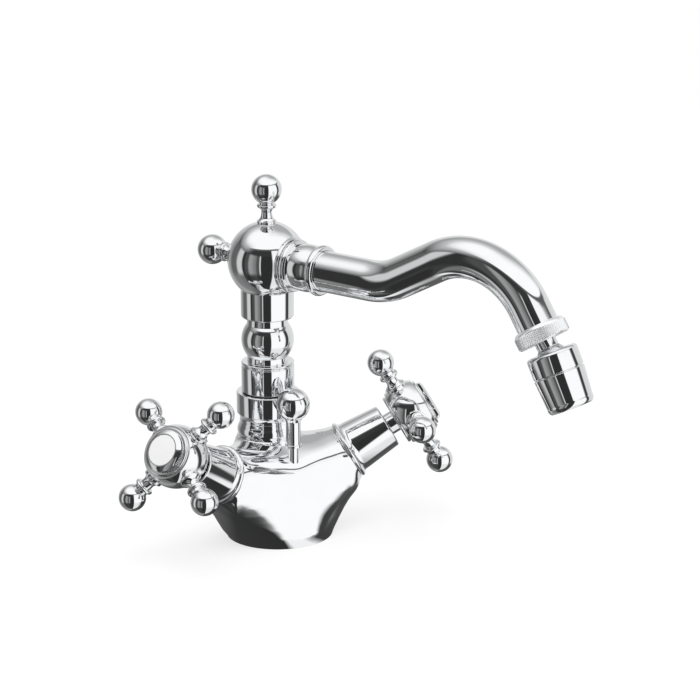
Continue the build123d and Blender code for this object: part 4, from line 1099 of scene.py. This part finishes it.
@dataclass
class Bonnet(Assembly):
    """Tapered barrel with a flared foot over a valve."""

    foot: float = 27.6
    foot_height: float = 2.4
    foot_round: float = 1.4
    barrel: float = 23.6
    cove_height: float = 2.6
    cove: float = 3.4
    end: float = 20.4
    end_at: float = 63.5
    end_wall: float = 3.5
    edge: float = 0.9
    spigot: float = 20.4
    spigot_depth: float = 3.4
    bore: float = 17.0
    spindle: float = 9.0

    def build(self, water: Water) -> None:
        """Adds the bonnet of a valve.

        Args:
            water: Side of the valve.
        """
        foot, step = self.foot / 2, self.foot_height / 2
        spigot, bore, spindle = self.spigot / 2, self.bore / 2, self.spindle / 2
        top, spigot_end = ARM_FACE_AT + self.foot_height, ARM_FACE_AT + self.spigot_depth
        profile = [
            (spigot, ARM_FACE_AT),
            (foot - step, ARM_FACE_AT),
            (foot, ARM_FACE_AT + step, self.foot_round),
            (foot - step, top, self.foot_round),
            (self.barrel / 2, top + self.cove_height, -self.cove),
            (self.end / 2, self.end_at - self.edge),
            (self.end / 2 - self.edge, self.end_at, self.edge),
            (spindle, self.end_at),
            (spindle, self.end_at - self.end_wall),
            (bore, self.end_at - self.end_wall),
            (bore, spigot_end),
            (spigot, spigot_end),
        ]
        self.add(f"{water.name.lower()}_bonnet", turned(profile, 112), valve_axis(water).matrix())


@dataclass
class Handle(Assembly):
    """Cross handle: hub, four arms, milled cap and index disc."""

    turn: float = 0.0
    cross_at: float = 75.5
    neck: float = 10.0
    neck_at: float = 63.55
    back_at: float = 67.4
    rim: float = 23.6
    rim_height: float = 1.6
    groove: float = 22.4
    ball: float = 28.4
    front_at: float = 82.9
    spindle: float = 8.1
    cap_bore: float = 13.0
    cap_bore_at: float = 78.25
    boss_from: float = 7.0
    arm_seat: float = 14.4
    arm_root: float = 9.4
    arm_root_width: float = 0.4
    arm_neck: float = 5.6
    arm_neck_out: float = 2.8
    arm_cove: float = 3.0
    arm_bead: float = 9.0
    arm_bead_at: float = 20.2
    arm_bead_width: float = 1.9
    arm_collet: float = 6.8
    arm_ball: float = 12.24
    arm_ball_out: float = 27.66
    cap_plug: float = 12.9
    cap_plug_height: float = 1.8
    cap_bead: float = 22.2
    cap_bead_width: float = 1.2
    cap_groove: float = 18.8
    cap_groove_width: float = 0.4
    cap_band: float = 19.2
    cap_band_width: float = 1.1
    cap_round: float = 6.0
    cap_rim: float = 0.5
    cap_face_at: float = 86.7
    disc: float = 13.8
    disc_height: float = 1.2
    teeth: int = 84
    tooth: float = 0.36

    def build(self, water: Water) -> None:
        """Adds the pieces of a handle.

        Args:
            water: Side of the handle.
        """
        name = water.name.lower()
        matrix = valve_axis(water, self.turn).matrix()
        cross = Matrix.Translation((0, 0, self.cross_at))
        spokes = [cross @ Matrix.Rotation(pi / 2 * step, 4, "Z") for step in range(4)]
        lying = Matrix.Rotation(pi / 2, 4, "Y")
        self.add(f"{name}_hub", self.hub(spokes, lying), matrix)
        arm = turned(self.arm_profile(), 64, 0.14)
        arms = joined([copied(arm, spoke @ lying) for spoke in spokes])
        arm.free()
        self.add(f"{name}_cross_arms", arms, matrix)
        self.add(f"{name}_cap", self.cap(), matrix)
        disc = rod(self.disc, self.cap_face_at - self.disc_height, self.cap_face_at)
        centre = Matrix.Scale(MM, 4) @ matrix
        centre = Matrix.Translation(centre.to_translation()) @ matrix.to_3x3().to_4x4()
        satin = SATIN.material(f"{name}_satin", centre)
        self.add(f"{name}_index_disc", turned(disc, 96, 0.12), matrix, satin, SATIN.slot)

    def hub(self, spokes: list[Matrix], lying: Matrix) -> BMesh:
        """Turned hub with the bosses of the arms.

        Args:
            spokes: Places of the arms.
            lying: Turn from Z to the arms' direction.

        Returns:
            The mesh in its own millimetres.
        """
        rim, rounding, ball = self.rim / 2, self.rim_height / 2, self.ball / 2
        spindle, bore = self.spindle / 2, self.cap_bore / 2
        rim_top = self.back_at + self.rim_height
        profile = [
            (spindle, self.neck_at),
            (self.neck / 2, self.neck_at),
            (self.neck / 2, self.back_at),
            (rim - rounding, self.back_at),
            (rim, self.back_at + rounding, rounding),
            (self.groove / 2, rim_top, rounding),
            (chord_at(self.ball, 2 * (self.cross_at - rim_top)), rim_top),
            (ball, self.cross_at, ball),
            (chord_at(self.ball, 2 * (self.front_at - self.cross_at)), self.front_at, ball),
            (bore, self.front_at),
            (bore, self.cap_bore_at),
            (spindle, self.cap_bore_at),
        ]
        boss = turned(rod(self.arm_root, self.boss_from, self.arm_seat), 64, 0.1)
        parts = [turned(profile, 112)] + [copied(boss, spoke @ lying) for spoke in spokes]
        boss.free()
        return joined(parts)

    def arm_profile(self) -> list[Point]:
        """Corners of an arm, from the hub outwards."""
        root, neck, collet, ball = (
            size / 2 for size in (self.arm_root, self.arm_neck, self.arm_collet, self.arm_ball)
        )
        seat, centre = self.arm_seat, self.arm_ball_out
        bead_bottom = self.arm_bead_at - self.arm_bead_width / 2
        bead_top = bead_bottom + self.arm_bead_width
        return [
            (0, seat),
            (root, seat),
            (root, seat + self.arm_root_width),
            (neck, seat + self.arm_neck_out, -self.arm_cove),
            (neck, bead_bottom),
            *bead(self.arm_bead, bead_bottom, self.arm_bead_width),
            (collet, bead_top),
            (collet, centre - chord_at(self.arm_ball, self.arm_collet)),
            (ball, centre, ball),
            (0, centre + ball, ball),
        ]

    def cap(self) -> BMesh:
        """Screw cap with a milled band round the recess of the disc.

        Returns:
            The mesh in its own millimetres.
        """
        bottom, face = self.front_at, self.cap_face_at
        plug, groove, band = self.cap_plug / 2, self.cap_groove / 2, self.cap_band / 2
        recess, recess_at = self.disc / 2 + FIT, face - self.disc_height
        bead_top = bottom + self.cap_bead_width
        low = bead_top + self.cap_groove_width
        high = low + self.cap_band_width
        profile = [
            (0, bottom - self.cap_plug_height),
            (plug, bottom - self.cap_plug_height),
            (plug, bottom),
            *bead(self.cap_bead, bottom, self.cap_bead_width),
            (groove, bead_top),
            (groove, low),
            (band, low),
            (band, high),
            (recess + self.cap_rim, face, self.cap_round),
            (recess, face),
            (recess, recess_at),
            (0, recess_at),
        ]
        steps = 2 * self.teeth
        bm = turned(profile, steps, 0.1)
        cuts = []
        for vert in bm.verts:
            on_band = vert.co.xy.length > band - 0.12 and low - 0.01 < vert.co.z < high + 0.05
            column = round(atan2(vert.co.y, vert.co.x) / (2 * pi) * steps)
            if on_band and column % 2:
                cuts.append(vert)
        shrink = 1 - self.tooth / band
        bmesh.ops.scale(bm, vec=(shrink, shrink, 1), verts=cuts)
        return bm


# Hidden and plain pieces of the frame
@dataclass
class Innards:
    """Gives the frame's remaining nodes their finishes."""

    finishes: tuple[Finish, ...] = (BRASS, STEEL, CERAMIC, RUBBER, ACETAL)

    def build(self) -> None:
        """Dresses every node that no piece replaces."""
        made = {finish.slot: finish.material(finish.slot) for finish in self.finishes}
        for part in frame["record"]["subparts"]:
            node = frame["nodes"][part["node"]]
            if node.hide_render:
                continue
            for slot in node.material_slots:
                slot.link = "OBJECT"
                slot.material = made[part["material_slot"]]
            log.info("%s: %s", node.name, part["material_slot"])


# Stage
@dataclass(frozen=True)
class Card:
    """Upright card of the studio, as polished metal shows it.

    Args:
        until: Azimuth in degrees at which the card ends, from the one before it.
        value: Brightness of the card.
        low: Brightness of the floor in front of the card.
        high: Brightness of the room over the card.
        soft: Half the width of the soft edge at its end, in degrees.
    """

    until: float
    value: float
    low: float
    high: float
    soft: float = 1.0


@dataclass(frozen=True)
class Sums:
    """Chains the math and mix nodes of a node tree.

    Args:
        tree: Node tree that takes the nodes.
    """

    tree: bpy.types.NodeTree

    def math(self, operation: str, first: Socket, second: Socket | float | None = None) -> Socket:
        """Adds a math node.

        Args:
            operation: Operation of the node.
            first: First input.
            second: Second input or number, if the operation takes two.

        Returns:
            Output of the node.
        """
        node = self.tree.nodes.new("ShaderNodeMath")
        node.operation = operation
        self.tree.links.new(first, node.inputs[0])
        if isinstance(second, float):
            node.inputs[1].default_value = second
        elif second is not None:
            self.tree.links.new(second, node.inputs[1])
        return node.outputs[0]

    def rise(self, value: Socket, low: float, high: float) -> Socket:
        """Soft step from 0 at the low value to 1 at the high one."""
        node = self.tree.nodes.new("ShaderNodeMapRange")
        node.interpolation_type = "SMOOTHSTEP"
        node.inputs["From Min"].default_value = low
        node.inputs["From Max"].default_value = high
        self.tree.links.new(value, node.inputs["Value"])
        return node.outputs[0]

    def polar(self, vector: Socket) -> tuple[Socket, Socket, Socket]:
        """Splits a vector into its bearing and its lengths.

        Args:
            vector: Vector to split.

        Returns:
            Share of a turn from the back over the left, level length, and height.
        """
        split = self.tree.nodes.new("ShaderNodeSeparateXYZ")
        self.tree.links.new(vector, split.inputs[0])
        x, y, z = split.outputs
        turn = self.math("ARCTAN2", x, self.math("MULTIPLY", y, -1.0))
        share = self.math("ADD", self.math("DIVIDE", turn, 2 * pi), 0.5)
        square = self.math("ADD", self.math("MULTIPLY", x, x), self.math("MULTIPLY", y, y))
        return share, self.math("SQRT", square), z

    def towards(self, share: Socket, level: Socket, azimuth: float) -> Socket:
        """Part of a level length that points to an azimuth.

        Args:
            share: Bearing as a share of a turn.
            level: Level length.
            azimuth: Azimuth in degrees.

        Returns:
            Level length times the cosine of its angle to the azimuth.
        """
        turn = self.math("MULTIPLY", self.math("SUBTRACT", share, (azimuth + 180) / 360), 2 * pi)
        return self.math("MULTIPLY", self.math("COSINE", turn), level)

    def ramp(self, value: Socket, stops: list[Span]) -> Socket:
        """Adds a grey ramp.

        Args:
            value: Input from 0 to 1.
            stops: Positions with their brightness.

        Returns:
            Colour of the ramp.
        """
        node = self.tree.nodes.new("ShaderNodeValToRGB")
        while len(node.color_ramp.elements) < len(stops):
            node.color_ramp.elements.new(0.5)
        for element, (position, grey) in zip(node.color_ramp.elements, stops):
            element.position = position
            element.color = (grey, grey, grey, 1)
        self.tree.links.new(value, node.inputs["Fac"])
        return node.outputs["Color"]

    def mix(self, share: Socket, first: Socket, second: Socket | float) -> Socket:
        """Mixes two colours.

        Args:
            share: Share of the second colour.
            first: First colour.
            second: Second colour, or a grey number.

        Returns:
            The mixed colour.
        """
        node = self.tree.nodes.new("ShaderNodeMix")
        node.data_type = "RGBA"
        self.tree.links.new(share, node.inputs["Factor"])
        self.tree.links.new(first, node.inputs["A"])
        if isinstance(second, float):
            node.inputs["B"].default_value = (second, second, second, 1)
        else:
            self.tree.links.new(second, node.inputs["B"])
        return node.outputs["Result"]

    def blend(self, share: Socket, first: Socket, second: Socket) -> Socket:
        """Mixes two shaders.

        Args:
            share: Share of the second shader.
            first: First shader.
            second: Second shader.

        Returns:
            The mixed shader.
        """
        node = self.tree.nodes.new("ShaderNodeMixShader")
        for source, target in zip((share, first, second), node.inputs):
            self.tree.links.new(source, target)
        return node.outputs[0]


@dataclass
class Studio:
    """Floor, cards, lamp and camera. Azimuth 0 is the front and grows to the right."""

    cards: tuple[Card, ...] = (
        Card(-172, 0.45, 0.38, 0.36, 4),
        Card(-158, 0.33, 0.36, 0.2, 5),
        Card(-128, 0.13, 0.22, 0.05, 4),
        Card(-108, 0.66, 0.18, 0.04, 2),
        Card(-98, 0.035, 0.05, 0.04, 2),
        Card(-86, 0.08, 0.03, 0.04, 2),
        Card(-72, 0.34, 0.05, 0.04, 5),
        Card(-62, 0.22, 0.06, 0.04, 2),
        Card(-52, 0.09, 0.04, 0.04, 0.6),
        Card(-49, 0.85, 0.03, 0.04, 0.6),
        Card(-14, 0.03, 0.03, 0.04, 1.5),
        Card(54, 1.1, 0.9, 1.05, 4),
        Card(73, 0.05, 0.12, 0.2, 2),
        Card(102, 0.76, 0.08, 0.5, 6),
        Card(164, 0.8, 0.12, 0.45, 8),
        Card(180, 0.56, 0.34, 0.38),
    )
    over_cards: Span = (0.36, 0.46)
    under_cards: Span = (-0.38, -0.58)
    ceiling: float = 1.1
    ceiling_rise: float = 0.66
    ceiling_lean: float = 0.34
    ceiling_soft: Span = (-0.02, 0.03)
    ceiling_front: Span = (-0.3, 0.25)
    gap: float = 0.12
    gap_under_ceiling: Span = (-0.14, -0.07)
    gap_front: Span = (-0.1, 0.3)
    back_azimuth: float = -120.0
    back_lean: float = 0.35
    back_ceiling: tuple[Span, ...] = (
        (0.7, 0.0), (0.8, 0.25), (0.9, 0.5), (0.95, 0.8), (1.0, 0.97), (1.06, 1.0)
    )
    # Painted shade and light on the floor round the foot as polished metal sees it, by azimuth: dark at the
    # back and sides, bright in front.
    painted_floor_shade: tuple[Span, ...] = (
        (-130, 0.12), (-80, 0.04), (-21, 0.03), (-13, 1.0), (12, 1.0), (30, 0.05), (150, 0.1)
    )
    painted_floor_shade_edge: Span = (0.035, 0.08)
    floor_radius: float = 0.9
    floor_grey: float = 0.32
    floor_glow: float = 0.68
    lamp_size: float = 0.5
    lamp_energy: float = 2.0
    lamp_place: Point = (-0.15, -0.2, 0.8)
    lamp_target: Point = (0, 0, 0.05)
    camera_azimuth: float = -31.72
    camera_elevation: float = 17.05
    distance: float = 1503.66
    target: Point = (31.56, -9.87, 83.96)
    focal_pixels: float = 3335.03
    image_pixels: float = 700.0
    sensor: float = 36.0

    def build(self) -> None:
        """Sets up the stage."""
        bpy.context.scene.view_settings.view_transform = "Standard"
        self.world()
        self.floor()
        self.lamp()
        self.camera()

    def world(self) -> None:
        """White to the camera, and a ring of upright cards under a white ceiling to polished metal."""
        world = bpy.data.worlds.new("studio")
        bpy.context.scene.world = world
        world.use_nodes = True
        tree = world.node_tree
        tree.nodes.clear()
        new, link = tree.nodes.new, tree.links.new
        rays = new("ShaderNodeLightPath")
        shown, plain = new("ShaderNodeBackground"), new("ShaderNodeBackground")
        link(self.surroundings(tree), shown.inputs["Color"])
        plain.inputs["Color"].default_value = (1, 1, 1, 1)
        pick = Sums(tree).blend(rays.outputs["Is Glossy Ray"], plain.outputs[0], shown.outputs[0])
        link(pick, new("ShaderNodeOutputWorld").inputs["Surface"])

    def surroundings(self, tree: bpy.types.NodeTree) -> Socket:
        """Adds the nodes of the cards, the dark over them, the floor under them and the ceiling.

        Args:
            tree: Node tree of the world.

        Returns:
            Colour by direction.
        """
        sums = Sums(tree)
        coords = tree.nodes.new("ShaderNodeTexCoord")
        share, level, z = sums.polar(coords.outputs["Generated"])
        front = sums.towards(share, level, 0.0)
        lean = sums.math("MULTIPLY", sums.towards(share, level, self.camera_azimuth), self.ceiling_lean)
        edge = sums.math("ADD", sums.math("MULTIPLY", level, self.ceiling_rise), lean)
        over = sums.math("SUBTRACT", z, edge)
        left = sums.math("MULTIPLY", sums.towards(share, level, self.back_azimuth), self.back_lean)
        reach = self.back_ceiling[-1][0]
        height = sums.math("DIVIDE", sums.math("ADD", z, left), reach)
        back = sums.ramp(height, [(at / reach, value) for at, value in self.back_ceiling])
        ceiling = sums.mix(
            sums.rise(front, *self.ceiling_front), back, sums.rise(over, *self.ceiling_soft)
        )
        rings = zip(*[(card.value, card.low, card.high) for card in self.cards])
        ring, low, high = (sums.ramp(share, self.stops(values)) for values in rings)
        walls = sums.mix(sums.rise(z, *self.under_cards), ring, low)
        walls = sums.mix(sums.rise(z, *self.over_cards), walls, high)
        gap = sums.rise(over, *self.gap_under_ceiling)
        gap = sums.math("MULTIPLY", gap, sums.rise(front, *self.gap_front))
        return sums.mix(ceiling, sums.mix(gap, walls, self.gap), self.ceiling)

    def stops(self, values: Point) -> list[Span]:
        """Stops of a ramp over the azimuth, from the back over the left, the front and the right.

        Args:
            values: Brightness of each card.

        Returns:
            Positions with their brightness.
        """
        stops = [(0.0, values[0])]
        for card, value, follower in zip(self.cards, values, values[1:]):
            stops.append(((card.until - card.soft + 180) / 360, value))
            stops.append(((card.until + card.soft + 180) / 360, follower))
        return stops + [(1.0, values[-1])]

    def floor(self) -> None:
        """White floor that keeps a shadow. To polished metal it shows an emitted ring round the foot instead:
        painted shade at the back and sides, a painted lit patch in front, and the world beyond.
        """
        bm = bmesh.new()
        bmesh.ops.create_circle(bm, cap_ends=True, segments=96, radius=self.floor_radius)
        floor = placed("floor", settled("floor", bm))
        material = bpy.data.materials.new("floor")
        material.use_nodes = True
        tree = material.node_tree
        tree.nodes.clear()
        new, link = tree.nodes.new, tree.links.new
        diffuse = new("ShaderNodeBsdfDiffuse")
        glow, painted_floor_shade = new("ShaderNodeEmission"), new("ShaderNodeEmission")
        diffuse.inputs["Color"].default_value = (*[self.floor_grey] * 3, 1)
        glow.inputs["Color"].default_value = (*[self.floor_glow] * 3, 1)
        sums = Sums(tree)
        share, reach, _ = sums.polar(new("ShaderNodeTexCoord").outputs["Object"])
        # Emitted ring round the foot, seen only in reflections: painted shade, with a painted lit patch in
        # front.
        stops = [((azimuth + 180) / 360, value) for azimuth, value in self.painted_floor_shade]
        link(sums.ramp(share, stops), painted_floor_shade.inputs["Color"])
        add, clear = new("ShaderNodeAddShader"), new("ShaderNodeBsdfTransparent")
        rays, output = new("ShaderNodeLightPath"), new("ShaderNodeOutputMaterial")
        link(diffuse.outputs[0], add.inputs[0])
        link(glow.outputs[0], add.inputs[1])
        mirrored = sums.blend(sums.rise(reach, *self.painted_floor_shade_edge), painted_floor_shade.outputs[0], clear.outputs[0])
        pick = sums.blend(rays.outputs["Is Glossy Ray"], add.outputs[0], mirrored)
        link(pick, output.inputs["Surface"])
        floor.data.materials.append(material)

    def lamp(self) -> None:
        """Soft lamp overhead that draws the shadow and isn't seen in the metal."""
        light = bpy.data.lights.new("softbox", "AREA")
        light.shape = "RECTANGLE"
        light.size = self.lamp_size
        light.size_y = self.lamp_size
        light.energy = self.lamp_energy
        lamp = placed("softbox", light)
        lamp.location = self.lamp_place
        lamp.rotation_mode = "QUATERNION"
        lamp.rotation_quaternion = (Vector(self.lamp_target) - lamp.location).to_track_quat("-Z", "Y")
        lamp.visible_glossy = False

    def camera(self) -> None:
        """Camera at the photograph's angle."""
        azimuth, elevation = radians(self.camera_azimuth), radians(self.camera_elevation)
        back = Vector((sin(azimuth) * cos(elevation), -cos(azimuth) * cos(elevation), sin(elevation)))
        data = bpy.data.cameras.new("camera")
        data.sensor_width = self.sensor
        data.lens = self.sensor * self.focal_pixels / self.image_pixels
        data.clip_end = 20
        camera = placed("camera", data)
        camera.location = (Vector(self.target) + back * self.distance) * MM
        camera.rotation_mode = "QUATERNION"
        camera.rotation_quaternion = (-back).to_track_quat("-Z", "Y")
        bpy.context.scene.camera = camera


def main() -> None:
    """Builds the pieces in order, then dresses the remaining nodes and sets up the stage."""
    chrome = CHROME.material("chrome")
    Casting("body", chrome).build()
    Collar("body", chrome).build()
    Pillar("spout", chrome).build()
    spout = Spout("spout", chrome)
    spout.build()
    nut, ball, jet = Nut("spout", chrome), JetBall("jet_ball", chrome), Jet("jet", chrome)
    end_axis = leaning_axis(*spout.end(nut.overlap), spout.end_lean)
    nut.build(end_axis)
    ball.build(end_axis)
    jet.build(leaning_axis(*spout.end(nut.overlap - ball.centre), jet.lean))
    for water, turn in HANDLE_TURNS.items():
        Bonnet("body", chrome).build(water)
        Handle(f"{water.name.lower()}_handle", chrome, turn).build(water)
    PopUp("popup", chrome).build()
    Innards().build()
    Studio().build()


if __name__ == "__main__":
    main()
